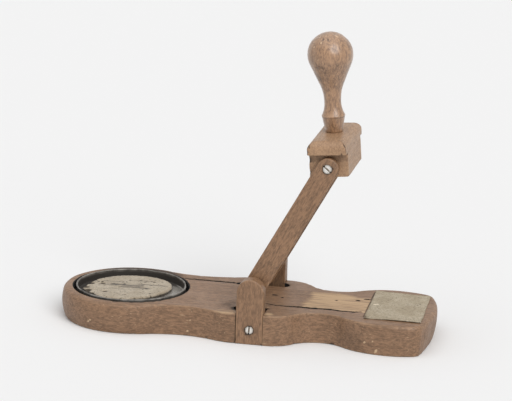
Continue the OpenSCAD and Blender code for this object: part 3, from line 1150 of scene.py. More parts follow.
@dataclass
class Screw:
    """A slotted countersunk wood screw.

    Attributes:
        node: The node it stands for.
        body: The body it rides on.
        place: Its head's middle, with the third axis out of the head.
        head_r: The radius of the head.
        shank_r: The radius of the shank.
        length: The length overall.
        slot_turn: How far the slot leans from upright towards the first axis.
        land: The height of the head's straight edge.
        cone: The height of the cone under it.
        slot_w: The slot's width.
        slot_deep: The slot's depth.
        dome: How far the head's edge lies below its middle.
    """

    node: str
    body: str
    place: Place
    head_r: float
    shank_r: float
    length: float
    slot_turn: float
    land: float = 0.3
    cone: float = 2.2
    slot_w: float = 1.35
    slot_deep: float = 1.3
    dome: float = 0.13

    def hole(self, gap: float) -> Piece:
        """A tool that leaves the screw's countersunk hole, with a softened mouth.

        Args:
            gap: How much wider it is than the screw.

        Returns:
            The tool.
        """
        r, s = self.head_r + gap, self.shank_r + gap
        foot = -self.length - 0.3
        line = [
            (0, foot), (s, foot), (s, -self.land - self.cone), (r, -self.land), (r, -0.12), (r + 0.15, 0.15),
            (r + 0.15, 1.5), (0, 1.5)
        ]
        return surface(self.node + "_hole", revolved(np.array(line), 48), self.place)

    def build(self) -> Piece:
        """Turns the domed head, the cone and the shank, and cuts the slot.

        The head's height at radius r is -dome (r / head radius)^2.

        Returns:
            The screw.
        """
        r = np.linspace(0, self.head_r - 0.12, 8)
        top = np.column_stack([r, -self.dome * (r / self.head_r) ** 2])[::-1]
        edge = [(self.head_r, -self.land + 0.06), (self.head_r - 0.02, -self.dome - 0.1)]
        line = [
            (0, -self.length), (self.shank_r * 0.7, -self.length + 0.4), (self.shank_r, -self.length + 2.2)
        ]
        line += [(self.shank_r, -self.land - self.cone)] + edge
        piece = surface(self.node + "_dressed", revolved(np.concatenate([line, top]), 64), self.place)
        half, reach = self.slot_w / 2, self.head_r + 1
        loop = rounded([(-half, -reach), (half, -reach), (half, reach), (-half, reach)], (0.1,) * 4, 1.0)
        core = loop * (0, 0.8)
        tool = surface(
            "slot", slab(loop, core, -self.slot_deep, 1, (0.12, 0.1), (3, 2, 3)),
            self.place.spun(-self.slot_turn)
        )
        carved(piece, [tool])
        return ready(piece, self.body, self.node, shared(SCREW_STEEL))


def shared(finish: Wood | Metal | Matted, **marks: bool) -> Material:
    """A finish's material, made once.

    Args:
        finish: The finish.
        marks: Which marks the piece has that the material reads, by name.

    Returns:
        The material.
    """
    if finish.name not in MADE:
        MADE[finish.name] = finish.material(**marks)
    return MADE[finish.name]


# Wear, dirt, painted light and painted shade on the board. A split is a course on the top and its
# widths there. A pit is a row of (x, y, half length along X, half length along Y, depth), and a mark a
# row for blots().
FRONT_SPLIT = [
    (4, -18.6), (9, -19.4), (15, -21.6), (24.7, -21.7), (35.2, -20.5), (47.4, -20.3), (59.6, -19.7),
    (69, -21.8), (76, -21.4), (84.5, -19.2)
]
FRONT_SPLIT_WIDTHS = [1, 1.7, 2.1, 2.5, 3, 3.2, 3, 2.4, 1.7, 1]
REAR_SPLIT = [(-71, 32.2), (-59.3, 32.5), (-46.3, 31.9), (-33.6, 31.8), (-29.6, 31.8)]
REAR_SPLIT_WIDTHS = [1.2, 2.3, 2.9, 2.9, 2.8]
BOARD_PITS = [
    (9.2, 7.1, 2.3, 1.3, 5), (16.5, 1.5, 1, 0.9, 4), (60.5, 6.5, 0.7, 0.7, 2.5), (77.4, 11.6, 1.5, 0.9, 3),
    (84.2, 16.5, 2.3, 1, 3), (-25.4, 31.6, 2.4, 2.3, 3)
]
BLEACHED_PATCH = [
    (38.5, 23), (40.4, 10), (39, 1), (36.5, -8), (37.5, -19.6), (60, -20.3), (86, -20), (92, -24), (92, 19),
    (86, 18.6), (76, 17.5), (69, 22), (60, 25), (52, 24.2)
]
# Painted light: pale spots on the top to either side of the front cheek, where light falls.
LIT_SPOTS_BY_CHEEK = [(14.5, -47, 4, 0.75), (-15, -49.5, 6, 0.5), (-25, -50, 6, 0.4)]
# Dirt on the top; the marks beside the front cheek are its painted shadow.
BOARD_SOIL_AND_SHADOW = [
    (-24, -31, 8, 0.45), (-18, -20, 9, 0.35), (-15, -40, 6, 0.5), (14, -36, 5, 0.25), (-62, 0, 20, 0.12),
    (-14, 36, 10, 0.3), (16, 38, 9, 0.35)
]
# Painted shade on the board's sides, where they turn from the light.
SIDE_PAINTED_SHADE = [
    (78, -36, 8, 16, 0.3), (87, -42, 4, 12, 0.25), (124, -47, 1, 9, 0.2), (140, -37, 14, 6, 0.35),
    (112, -51, 2, 14, 0.15), (92, -42, 14, 10, 0.12), (-48, -46, 8, 10, 0.14), (40, -48, 12, 6, 0.2),
    (30, -51, 18, 5, 0.12)
]
FRONT_CHIPS = [
    (93, 9.4, 1.1, 1), (102, 2.8, 1.3, 1), (103.5, 4.5, 1, 1), (116, 12.8, 0.9, 1), (98, 12, 0.8, 1),
    (99.5, 10.5, 0.8, 1), (-133, 7, 1.2, 0.9), (-131, 9, 1, 0.9), (-50, 13, 0.9, 0.9), (-52, 4, 1.2, 0.9),
    (-49, 20, 0.9, 0.9), (-90, 12, 0.9, 0.7), (-20, 8, 0.8, 0.7), (46, 10, 0.9, 0.7), (128, 6, 1, 0.8),
    (110, 18, 0.8, 0.7)
]


@dataclass
class Base:
    """The board, the two cheeks let into its edges and their screws.

    Attributes:
        thick: The board's thickness.
        middle_half: Half its width at the cheeks.
        middle_flat: How far its straight run reaches to either side of the pivot.
        ink_x: Centre of the ink end, which is also the well's.
        ink_end_r: The radius of the ink end.
        ink_waist_half: Half the width at the ink end's waist.
        ink_shoulder_ratio: The radius of the shoulder beside it over the waist's.
        bed_x: Centre of the bed's sides.
        bed_half: Half the bed's width.
        bed_side_r: The radius of the bed's sides.
        bed_waist_half: Half the width at the bed's waist.
        bed_end_x: Where the bed's far end crosses the middle.
        bed_end_r: The radius of the far end.
        bed_corner_r: The radius of the bed's corners.
        well_r: The radius of the well.
        well_floor: The height of its floor.
        cheek_w: A cheek's width.
        cheek_thick: A cheek's thickness.
        cheek_seat_gap: Play at each side of a cheek in its recess.
        mortise_y: Where a mortise begins and ends, out from the middle.
        mortise_x: Where it begins and ends along the board.
        mortise_deep: Its depth.
        rod_r: The radius of the rod's bore.
        rod_reach: How far out the bore goes.
        screw_z: The height of the cheek screws.
        screw_sink: How far a screw's head lies below the wood.
    """

    thick: float = 25.0
    middle_half: float = 53.0
    middle_flat: float = 13.0
    ink_x: float = -110.0
    ink_end_r: float = 56.78
    ink_waist_half: float = 44.5
    ink_shoulder_ratio: float = 0.63
    bed_x: float = 108.0
    bed_half: float = 51.0
    bed_side_r: float = 57.4
    bed_waist_half: float = 33.0
    bed_end_x: float = 143.6
    bed_end_r: float = 120.0
    bed_corner_r: float = 11.0
    well_r: float = 47.6
    well_floor: float = 17.8
    cheek_w: float = 22.0
    cheek_thick: float = 10.6
    cheek_seat_gap: float = 0.2
    mortise_y: tuple[float, float] = (31.35, 42.4)
    mortise_x: tuple[float, float] = (-16.0, 11.0)
    mortise_deep: float = 6.0
    rod_r: float = 3.05
    rod_reach: float = 49.4
    screw_z: float = 11.8
    screw_sink: float = 0.15

    @property
    def cheek_face(self) -> float:
        """How far the cheeks' inner faces lie from the middle."""
        return self.middle_half - self.cheek_thick

    def waist(
        self, run: float, end_r: float, sink: float, waist_half: float, ratio: float
    ) -> tuple[float, float]:
        """The waist arc that touches an end's circle and a shoulder's arc.

        Both contacts give one quadratic in the waist's distance from the end's centre.

        Args:
            run: The distance along X from the end's centre to the middle's straight run.
            end_r: The end circle's radius.
            sink: How far its centre lies below the centre line.
            waist_half: Half the width at the waist.
            ratio: The shoulder's radius over the waist's.

        Returns:
            The distance along X from the end's centre to the waist, and the waist's radius.
        """
        rise, total = self.middle_half - waist_half, end_r + sink + waist_half
        drop = end_r - sink - waist_half
        a = 1 / rise - (1 + ratio) / drop
        b = 2 * run / rise
        c = run * run / rise + rise + (1 + ratio) * total
        step = 2 * c / (b + math.sqrt(b * b - 4 * a * c))
        return step, (step * step / drop - total) / 2

    def outline(self) -> Points:
        """The board's outline: eight arcs along one side, each touching the next, and their mirror.

        Returns:
            The outline's points, anticlockwise.
        """

        def heading(a: Points, b: Points) -> float:
            """The direction from a to b, in degrees."""
            return math.degrees(math.atan2(b[1] - a[1], b[0] - a[0]))

        ink = np.array([self.ink_x, 0.0])
        step, ink_r = self.waist(
            -self.ink_x - self.middle_flat, self.ink_end_r, 0, self.ink_waist_half, self.ink_shoulder_ratio
        )
        ink_waist = np.array([self.ink_x + step, self.ink_waist_half + ink_r])
        ink_shoulder_r = ink_r * self.ink_shoulder_ratio
        ink_shoulder = np.array([-self.middle_flat, self.middle_half - ink_shoulder_r])
        sink = self.bed_side_r - self.bed_half
        side = np.array([self.bed_x, -sink])
        step, bed_r = self.waist(
            self.bed_x - self.middle_flat, self.bed_side_r, sink, self.bed_waist_half, 1.0
        )
        bed_waist = np.array([self.bed_x - step, self.bed_waist_half + bed_r])
        bed_shoulder = np.array([self.middle_flat, self.middle_half - bed_r])
        end = np.array([self.bed_end_x - self.bed_end_r, 0.0])
        near, far = self.bed_end_r - self.bed_corner_r, self.bed_side_r - self.bed_corner_r
        apart = np.linalg.norm(side - end)
        on = (side - end) / apart
        reach = (apart**2 + near**2 - far**2) / (2 * apart)
        corner = end + on * reach + math.sqrt(near**2 - reach**2) * np.array([-on[1], on[0]])
        half = np.concatenate([
            arc(ink, self.ink_end_r, 180, heading(ink, ink_waist))[:-1],
            arc(ink_waist, ink_r, heading(ink_waist, ink), heading(ink_waist, ink_shoulder))[:-1],
            arc(ink_shoulder, ink_shoulder_r, heading(ink_shoulder, ink_waist), 90),
            arc(bed_shoulder, bed_r, 90, heading(bed_shoulder, bed_waist))[:-1],
            arc(bed_waist, bed_r, heading(bed_waist, bed_shoulder), heading(bed_waist, side))[:-1],
            arc(side, self.bed_side_r, heading(side, bed_waist), heading(side, corner))[:-1],
            arc(corner, self.bed_corner_r, heading(side, corner), heading(end, corner))[:-1],
            arc(end, self.bed_end_r, heading(end, corner), 0),
        ])
        return filled(np.concatenate([half * (1, -1), half[-2:0:-1]]), 1.3)

    def crack(self, name: str, path: Rows, widths: Sequence[float], seed: int) -> Piece:
        """A tool for a split along the grain: a wedge carried along a path.

        Its half width h goes from the path's own at the surface to a third of it at the bottom,
        which lies 1.5 + 0.6 h deep, and both ends close to a point.

        Args:
            name: The tool's name.
            path: The split's course on the board's top.
            widths: Its full width at each point of the path.
            seed: Fixes its small wanders.

        Returns:
            The tool.
        """
        rng = np.random.default_rng(seed)
        line = np.column_stack([np.asarray(path, float), np.asarray(widths, float)])
        line = filled(line, 1.6, closed=False)
        line[1:-1, 1] += rng.normal(0, 0.12, len(line) - 2)
        line[1:-1, 2] *= rng.uniform(0.85, 1.15, len(line) - 2)
        half, deep = line[:, 2] / 2, 1.5 + 0.3 * line[:, 2]
        section = [(1.25, 1.0, 0), (1.0, 0.0, 0), (0.35, 0.0, -1)]
        section += [(-side, up, down) for side, up, down in reversed(section)]
        rows = np.stack([
            np.column_stack([line[:, 0], line[:, 1] - side * half, self.thick + up + down * deep])
            for side, up, down in section
        ], axis=1)
        first, last = (row * 0 + row.mean(axis=1, keepdims=True) for row in (rows[:1], rows[-1:]))
        rows = np.concatenate([first, rows, last])
        rows[0, :, 0] -= 1.0
        rows[-1, :, 0] += 1.0
        return surface(name, rows)

    def pit(self, x: float, y: float, across: float, along: float, deep: float) -> Piece:
        """A tool for a small hole in the board's top: a turned cone, stretched along X and Y.

        Args:
            x: Its place along the board.
            y: Its place across the board.
            across: Half its length along X.
            along: Half its length along Y.
            deep: Its depth.

        Returns:
            The tool.
        """
        line = np.array([(0, -deep), (0.6, -deep), (1.0, -0.2), (1.15, 0.1), (1.2, 1.0), (0, 1.0)])
        place = Place(np.array([x, y, self.thick])).scaled(across, along)
        return surface("pit", revolved(line, 20), place)

    def build(self) -> list[Piece]:
        """Builds the board, both cheeks and their screws.

        Returns:
            The pieces.
        """
        pieces = [self.board()]
        for side in Side:
            at = facing((0, side.sign * (self.middle_half - self.screw_sink), self.screw_z), 0, side)
            screw = Screw(
                side.value + "_cheek_screw", "base", at, head_r=3.3, shank_r=1.65, length=19, slot_turn=4
            )
            pieces += [self.cheek(side, screw), screw.build()]
        return pieces

    def board(self) -> Piece:
        """The board: its outline carried round softened arrises and bellied ends, then the cuts.

        The bed's front corner is up to 1.3 longer and 1.9 wider than the rear one. The top arris
        is 0.85 at the cheeks and grows to about 3 at both ends. The wall falls back from its widest
        height w by low ((w - z) / w)^2 below it and high ((z - w) / (thick - w))^2 above, both
        nothing at the cheeks and most at the ends.

        Returns:
            The board.
        """
        loop = self.outline()
        fuller = held((loop[:, 0] - 104) / 34) * held((-loop[:, 1] - 16) / 18)
        loop = loop + fuller[:, None] * (1.3, -1.9)
        x, end_on = loop[:, 0], np.abs(outward(loop)[:, 0]) ** 2
        core = np.column_stack([np.clip(x, self.ink_x, 98), 0 * x])
        ink, bed = held((-x - 52) / 48) ** 1.5, held((x - 60) / 55) ** 1.5
        soft = 0.85 + 1.9 * ink + 2.0 * bed + 0.3 * wander(len(loop), 3)
        below = 0.5 + 0.12 * wander(len(loop), 4)
        widest = 13.5 + 6.5 * bed
        low, high = 2.7 * ink + bed * (0.2 + 2.8 * end_on**4), 1.9 * ink + bed * (0.3 + 0.7 * end_on)

        def under(z: Points) -> Points:
            """How far the wall falls back at each height."""
            down = held((widest - z) / widest) ** 2
            return low * down + high * held((z - widest) / (self.thick - widest)) ** 2

        piece = surface(
            "base_board_dressed", slab(loop, core, 0, self.thick, (below, soft), (7, 13, 38), under)
        )
        tools = [self.well()] + [self.seat(side) for side in Side]
        tools.append(self.crack("front_split", FRONT_SPLIT, FRONT_SPLIT_WIDTHS, 11))
        tools.append(self.crack("rear_split", REAR_SPLIT, REAR_SPLIT_WIDTHS, 12))
        tools += [self.pit(*pit) for pit in BOARD_PITS]
        mortises = [self.mortise(side) for side in Side]
        piece.data.materials.append(shared(BOARD_WOOD, bleached=True))
        carved(piece, [joined("cuts", tools), joined("mortises", mortises)], shared(CREVICE_SHADE))
        weathered(
            piece, depth=0.22, length=34, seed=5,
            dents=nicks(piece.data, 90, 6, radius=(0.8, 2.4), depth=(0.1, 0.4))
        )
        self.worn_board(piece.data)
        return ready(piece, "base", "base_board", shared(BOARD_WOOD))

    def well(self) -> Piece:
        """The tool for the tin's well: a turned disc with a softened mouth.

        Returns:
            The tool.
        """
        mouth, above = self.well_r + 0.9, self.thick + 2
        line = [(0, self.well_floor), (self.well_r, self.well_floor), (self.well_r, self.thick - 0.9)]
        line += [(mouth, self.thick + 0.05), (mouth, above), (0, above)]
        return surface("well", revolved(np.array(line), 224), Place(np.array([self.ink_x, 0, 0])))

    def seat(self, side: Side) -> Piece:
        """The tool for a cheek's recess in the board's edge.

        Args:
            side: The cheek's side.

        Returns:
            The tool.
        """
        half, inner, outer = self.cheek_w / 2 + self.cheek_seat_gap, self.cheek_face, self.middle_half + 2
        loop = rounded([(-half, inner), (half, inner), (half, outer), (-half, outer)], (0.3,) * 4, 4)
        middle = np.tile((0.0, (inner + outer) / 2), (len(loop), 1))
        rows = slab(loop, middle, -1, self.thick + 1, (0.1, 0.1), (2, 2, 2))
        return surface("seat", rows, Place(axes=np.diag([side.sign, side.sign, 1.0])))

    def mortise(self, side: Side) -> Piece:
        """The tool for the mortise beside a cheek, round at the end towards the ink.

        Args:
            side: The cheek's side.

        Returns:
            The tool.
        """
        x0, x1, (y0, y1) = self.mortise_x[0], self.mortise_x[1], self.mortise_y
        wide = y1 - y0
        corners = [(x0, -y1 - 0.02), (x1, -y1 - 0.02), (x1, -y0), (x0, -y0)]
        loop = rounded(corners, (wide / 2 - 0.02, 0.4, 0.4, wide / 2 - 0.02), 1.5)
        core = np.column_stack([np.clip(loop[:, 0], x0 + wide / 2, x1 - 2), 0 * loop[:, 0] - (y0 + y1) / 2])
        rows = slab(loop, core, self.thick - self.mortise_deep, self.thick + 1, (0.5, 0.1), (3, 3, 3))
        return surface("mortise", rows, Place(axes=np.diag([-side.sign, -side.sign, 1.0])))

    def worn_board(self, mesh: Mesh) -> None:
        """Stores where the board is bleached, soiled and chipped, and where light and shade are painted on
        it.

        The bleached patch fades over 13 inside its outline, and over 4 along the front split. Spots of
        painted light lie beside the front cheek. Dirt lies in soft marks, with the painted shadow of the
        front cheek among them; painted shade darkens the sides, a painted shadow line runs past the
        paper's left edge, and the top is darker round the well and behind it.

        Args:
            mesh: The board's mesh.
        """
        spots = spots_of(mesh)
        plan, top = spots[:, :2], spots[:, 2] > self.thick - 1.2
        inside = depth_inside(plan, np.array(BLEACHED_PATCH))
        near = held((plan[:, 1] + 23) / 6)
        bleached = np.where(top, held(0.42 + inside / np.where(near < 1, 4, 13)), 0)
        painted(mesh, "bleached", np.maximum(bleached, blots(plan, LIT_SPOTS_BY_CHEEK) * top))
        # A painted shadow line on the board just past the paper's left edge.
        paper_edge_shadow = bell(plan[:, 0] - 87.2 - (42 - plan[:, 1]) * 0.027, 0.8)
        out = np.hypot(plan[:, 0] - self.ink_x, plan[:, 1]) - self.well_r
        rear = bell(out - 3, 5) * held((plan[:, 1] - 26) / 18)
        soil_and_shade = blots(plan, BOARD_SOIL_AND_SHADOW) + 0.9 * paper_edge_shadow * (np.abs(plan[:, 1] - 3) < 36) * top
        soil_and_shade += top * (0.6 * bell(out, 1.3) + 0.75 * rear)
        painted(mesh, "soil_and_shade", soil_and_shade + blots(spots, SIDE_PAINTED_SHADE))
        painted(mesh, "chips", blots(spots[:, [0, 2]], FRONT_CHIPS) * (spots[:, 1] < -25))

    def cheek(self, side: Side, screw: Screw) -> Piece:
        """A cheek: an upright slab with a half round top, bored for the rod and the screw.

        Args:
            side: Its side.
            screw: The screw that goes through it.

        Returns:
            The cheek.
        """
        half, top = self.cheek_w / 2, joint_place("lever_swing")[2]
        crown = half - 0.01
        loop = rounded(
            [(-half, 0), (half, 0), (half, top + half), (-half, top + half)], (0.8, 0.8, crown, crown), 1.2
        )
        core = np.column_stack([0 * loop[:, 0], np.clip(loop[:, 1], half, top)])
        seed = 20 + side.sign
        soft = 0.55 + 0.5 * held((loop[:, 1] - 24) / 12) + 0.15 * wander(len(loop), seed)
        place = facing((0, side.sign * self.cheek_face, 0), 0, side)
        piece = surface(
            side.value + "_cheek_dressed", slab(loop, core, 0, self.cheek_thick, (0.6, soft), (9, 6, 9)),
            place
        )
        deep = self.rod_reach - self.cheek_face
        bore = np.array([(0, -1), (self.rod_r, -1), (self.rod_r, deep), (0, deep)])
        tool = surface("bore", revolved(bore, 48), place.shifted((0, top, 0)))
        piece.data.materials.append(shared(CHEEK_WOOD))
        carved(piece, [joined("bores", [tool, screw.hole(CUT_GAP)])], shared(CREVICE_SHADE))
        weathered(
            piece, depth=0.1, length=17, seed=seed,
            dents=nicks(piece.data, 26, seed, radius=(0.6, 1.5), depth=(0.08, 0.3))
        )
        face, back = side.sign * self.middle_half, side.sign * self.cheek_face
        # Darker round the screw and at the outer face's foot, with painted shade on the inner face beside the
        # arm.
        soil_and_shade = [(0, face, self.screw_z, 4.4, 0.45), (0, back, 20, 14, 0.25), (0, face, 0, 7, 0.2)]
        painted(piece.data, "soil_and_shade", blots(spots_of(piece.data), soil_and_shade))
        return ready(piece, "base", side.value + "_cheek", shared(CHEEK_WOOD))


# Wear on the tin and the pad. The rim's table has rows of (degrees, radius), its bites rows of
# (degrees, width in degrees, depth), the holes rows of (x, y, radius, depth) and the streaks rows
# of (first x, last x, y, radius, depth).
TIN_DENTS = [
    (-148, -24, 26.3, 3.5, 0.35), (-66, 12, 26.3, 4, 0.3), (-100, 44, 26.3, 5, 0.3),
    (-120, -44, 26.3, 3, 0.25)
]
PAD_RIM = [
    (0, 33.9), (12, 36.2), (24, 37.6), (40, 38.6), (60, 38), (74, 36.8), (88, 35.2), (101, 34.2), (131, 33.9),
    (147, 34.3), (172, 34.2), (186, 36.4), (195, 38), (203, 36.6), (216, 34.4), (228, 33.4), (245, 34.3),
    (258, 34), (272, 32.7), (302, 31.7), (319, 31), (340, 31.4)
]
PAD_BITES = [
    (176, 3.5, 2.2), (186, 2.2, 1.6), (209, 3, 2), (222, 3, 1.4), (236, 2, 0.9), (158, 3, 1.5),
    (141, 2.5, 0.9), (300, 3, 0.5), (344, 4, 0.6), (20, 3, 0.6)
]
PAD_HOLES = [
    (-145.9, 8.9, 1.7, 3.4), (-136.8, 10.2, 1.7, 3.2), (-129.4, -11.7, 1.6, 3), (-147.4, -2.2, 1.7, 3.2),
    (-143.8, -9.7, 1.6, 3), (-138.4, 14.2, 0.9, 2.2), (-142, 15, 1, 2.4), (-111, -17, 0.7, 1.6),
    (-121, 2, 0.7, 1.4), (-96, 24, 0.8, 1.4), (-134, 4, 0.8, 1.6)
]
PAD_STREAKS = [
    (-129, -101, 9.5, 2.6, 0.3), (-119, -94, 4, 2.4, 0.3), (-138, -118, 17, 2.4, 0.2),
    (-108, -84, 15, 2.4, 0.25), (-128, -104, -3, 2.2, 0.2), (-140, -122, 6, 2.2, 0.2),
    (-118, -96, 24, 2.4, 0.2), (-112, -88, -10, 2, 0.15)
]


@dataclass
class InkWell:
    """The round tin in the board's well and the felt pad in it.

    Attributes:
        x: The tin's middle along the board.
        floor: The height of the tin's underside.
        tin_r: The radius over the tin's bead.
        tin_height: The tin's height.
        sheet: The thickness of its sheet.
        bead_r: The radius of its rolled rim.
        pad_x: The pad's middle along the board.
        pad_y: The pad's middle across the board.
        pad_thick: The pad's thickness.
        pad_least: The least thickness that wear leaves.
    """

    x: float = -110.0
    floor: float = 17.8
    tin_r: float = 45.8
    tin_height: float = 8.5
    sheet: float = 0.6
    bead_r: float = 0.8
    pad_x: float = -114.0
    pad_y: float = 5.0
    pad_thick: float = 3.6
    pad_least: float = 0.45

    def build(self) -> list[Piece]:
        """Builds the tin and the pad."""
        return [self.tin(), self.pad()]

    def tin(self) -> Piece:
        """The tin: floor, wall and rolled bead in one turned profile.

        Its radius shrinks with its height by up to 0.7 and 0.4 % in two and five waves, and its rim
        dips by up to 0.24 and 0.1 in three and eleven.

        Returns:
            The tin.
        """
        wall = self.tin_r - self.bead_r + self.sheet / 2
        bead = (self.tin_r - self.bead_r, self.tin_height - self.bead_r)
        inner = wall - self.sheet
        line = np.concatenate([
            [(0, self.sheet)],
            arc((inner - 1.4, self.sheet + 1.4), 1.4, -90, 0, 0.5),
            arc(bead, self.bead_r, 248, -68, 0.25),
            arc((wall - 1.6, 1.6), 1.6, 0, -90, 0.5),
            [(0, 0)],
        ])
        rows = revolved(filled(line, 2.0, closed=False), 240)
        turn, high = np.arctan2(rows[..., 1], rows[..., 0]), held(rows[..., 2] / self.tin_height)
        out = 1 - high * (0.0035 * (1 + np.sin(2 * turn + 0.6)) + 0.002 * (1 + np.sin(5 * turn)))
        rows[..., :2] *= out[..., None]
        rows[..., 2] -= high * (0.12 * (1 + np.sin(3 * turn + 2.1)) + 0.05 * (1 + np.sin(11 * turn)))
        piece = surface("ink_tin_dressed", rows, Place(np.array([self.x, 0, self.floor])))
        weathered(piece, depth=0.05, length=9, seed=31, dents=TIN_DENTS)
        spots = spots_of(piece.data)
        bared = held((spots[:, 0] + 86) / 14) * (spots[:, 2] < self.floor + 1.2) * 1.1
        painted(piece.data, "bared", bared)
        return ready(piece, "base", "ink_tin", shared(TIN_SHEET, bared=True))

    def rim(self, turn: Points) -> Points:
        """The pad's ragged rim.

        Its radius is read off the table of its worn shape, less slow and quick waves and each
        bite's depth times exp(-(turn past it / width)^2).

        Args:
            turn: The rim's angles, in degrees.

        Returns:
            The radius at each angle.
        """
        rim = np.interp(turn, *np.transpose(PAD_RIM), period=360)
        rim = rim - 0.16 * (1 + wander(len(turn), 41)) - 0.28 * (1 + wander(len(turn), 42, (23, 37, 51, 70)))
        for at, width, deep in PAD_BITES:
            past = (turn - at + 180) % 360 - 180
            rim = rim - deep * bell(past, width)
        return rim

    def pad(self) -> Piece:
        """The felt pad: a crowned disc with a ragged rim, torn to a point at its left.

        A row lies at share t of the rim's radius. The top falls off over the last twentieth, and
        sinks by moth holes and worn streaks, each times exp(-(distance / radius)^2).

        Returns:
            The pad.
        """
        count, middle = 320, (self.pad_x, self.pad_y)
        a = np.linspace(0, 2 * np.pi, count, endpoint=False)
        turn = np.degrees(a)
        thick = self.pad_thick - 0.15 * (1 + wander(count, 43, (1, 2, 3, 7)))
        thick = thick - bell(turn - 205, 30)
        shares = np.concatenate([np.linspace(0, 0.97, 40), np.linspace(0.978, 1, 5)])
        crown = np.sqrt(held(1 - ((shares - 0.95) / 0.06).clip(0, 1) ** 2))
        ways = np.stack([np.cos(a), np.sin(a)], axis=1)
        flat = shares[:, None, None] * self.rim(turn)[None, :, None] * ways[None]
        edge = held((shares - 0.6) / 0.4)[:, None]
        high = (self.pad_thick + (thick - self.pad_thick)[None] * edge) * (0.35 + 0.65 * crown[:, None])
        streaks = [
            (x, y + 0.5 * math.sin(x), r, s)
            for x0, x1, y, r, s in PAD_STREAKS for x in np.arange(x0, x1, 2.6)
        ]
        worn = PAD_HOLES + [(x, y, r, 0.35 * d) for x, y, r, d in streaks]
        sunk = blots((flat + middle).reshape(-1, 2), worn).reshape(high.shape)
        high = np.maximum(high - sunk, self.pad_least)
        top, base = np.dstack([flat, high]), np.dstack([flat, 0 * high])
        rows = np.concatenate([base[::3], base[-1:], top[::-1]])
        piece = surface("ink_pad_dressed", rows, Place(np.array([*middle, self.floor + self.sheet])))
        spots = spots_of(piece.data)
        # The foot of the side wall (low) and the moth holes are darkened as painted shade; the streaks and
        # the drawn specks are dirt.
        plan, low = spots[:, :2], held((self.floor + 3.2 - spots[:, 2]) / 1.6)
        flat = plan - middle
        along = 0.5 + 0.5 * np.sin(flat[:, 1] * 1.9 + np.sin(flat[:, 0] * 0.13) * 2)
        holes = blots(plan, [(x, y, 1.1 * r, 1.0) for x, y, r, _ in PAD_HOLES])
        marks = holes + blots(plan, streaks) * (0.5 + 0.8 * along)
        rng, many = np.random.default_rng(44), 70
        bits = [
            rng.uniform(-30, 30, (many, 2)) + middle, rng.uniform(0.45, 0.95, many),
            rng.uniform(0.5, 1.1, many)
        ]
        painted(piece.data, "soil_and_shade", 1.5 * marks + 1.6 * low + blots(plan, np.column_stack(bits)))
        return ready(piece, "base", "ink_pad", shared(PAD_FELT))


# Wear on the paper, in rows for blots().
PAPER_SOIL = [
    (98, 40, 6, 0.3), (130, -30, 8, 0.25), (120, 6, 16, 0.12), (91, -34, 4, 0.4), (105, -20, 10, 0.1)
]
PAPER_TEARS = [
    (92.2, 2.6, 0.8, 0.9), (93.4, 3.4, 0.7, 0.9), (94.6, 4.3, 0.8, 0.9), (95.3, 4.9, 0.6, 0.7),
    (125, -36.5, 2, 0.5), (104, -36.6, 2.2, 0.45)
]


@dataclass
class Label:
    """The bare paper pasted on the bed, with a lifting front edge.

    Attributes:
        corners: Its four corners, anticlockwise from the front left.
        level: The height of the board's top.
        thick: The paper's thickness.
    """

    corners: Rows = ((90.0, -36.9), (136.0, -36.8), (134.2, 38.8), (87.9, 42.0))
    level: float = 25.0
    thick: float = 0.3

    def build(self) -> list[Piece]:
        """Builds the paper.

        A point at shares (u, v) of the way across and along lies between the four corners, moved
        by small waves where it is on an edge. It lifts off the board by each edge's height times
        exp(-(distance / reach)^2), and by low cockles.

        Returns:
            The paper, in a list.
        """
        across, along = 64, 108
        u, v = np.meshgrid(np.linspace(0, 1, across), np.linspace(0, 1, along))
        a, b, c, d = (np.asarray(p, float) for p in self.corners)
        front, rear = ((left * (1 - u)[..., None] + right * u[..., None]) for left, right in ((a, b), (d, c)))
        flat = front * (1 - v)[..., None] + rear * v[..., None]
        ragged = {
            k: wander(n, 50 + k, (1, 2, 5, 11, 19, 31)) for k, n in enumerate((across, across, along, along))
        }
        flat[0, :, 1] += 0.35 * ragged[0] + 0.2
        flat[-1, :, 1] += 0.35 * ragged[1] - 0.2
        flat[:, 0, 0] += 0.3 * ragged[2]
        flat[:, -1, 0] += 0.35 * ragged[3] - 0.3
        wide, long = 44, 76
        free = held((u - 0.12) / 0.3) * (1 - 0.55 * held((u - 0.85) / 0.15))
        lift = 0.62 * bell(v * long, 5.5) * free
        lift += 0.4 * bell(u * wide, 3.0) * (0.55 + 0.45 * np.sin(v * 9 + 1))
        lift += 0.35 * bell((1 - v) * long, 4.0) * (0.5 + 0.5 * np.sin(u * 8))
        lift += 0.05 + 0.045 * np.sin(u * 11 + v * 4) * np.sin(v * 17)
        rows = np.concatenate([flat, (self.level + self.thick + lift)[..., None]], axis=2)
        piece = surface("paper_label_dressed", rows, closed=False)
        wall = piece.modifiers.new("paper", "SOLIDIFY")
        wall.thickness, wall.offset = self.thick * MM, -1
        settle(piece)
        tidied(piece.data)
        plan = spots_of(piece.data)[:, :2]
        edge = -depth_inside(plan, np.stack([a, b, c, d]))
        painted(piece.data, "soil_and_shade", np.clip((edge + 2.2) / 5, 0, 0.42) + blots(plan, PAPER_SOIL))
        painted(piece.data, "torn", blots(plan, PAPER_TEARS))
        return [ready(piece, "base", "paper_label", shared(LABEL_PAPER))]


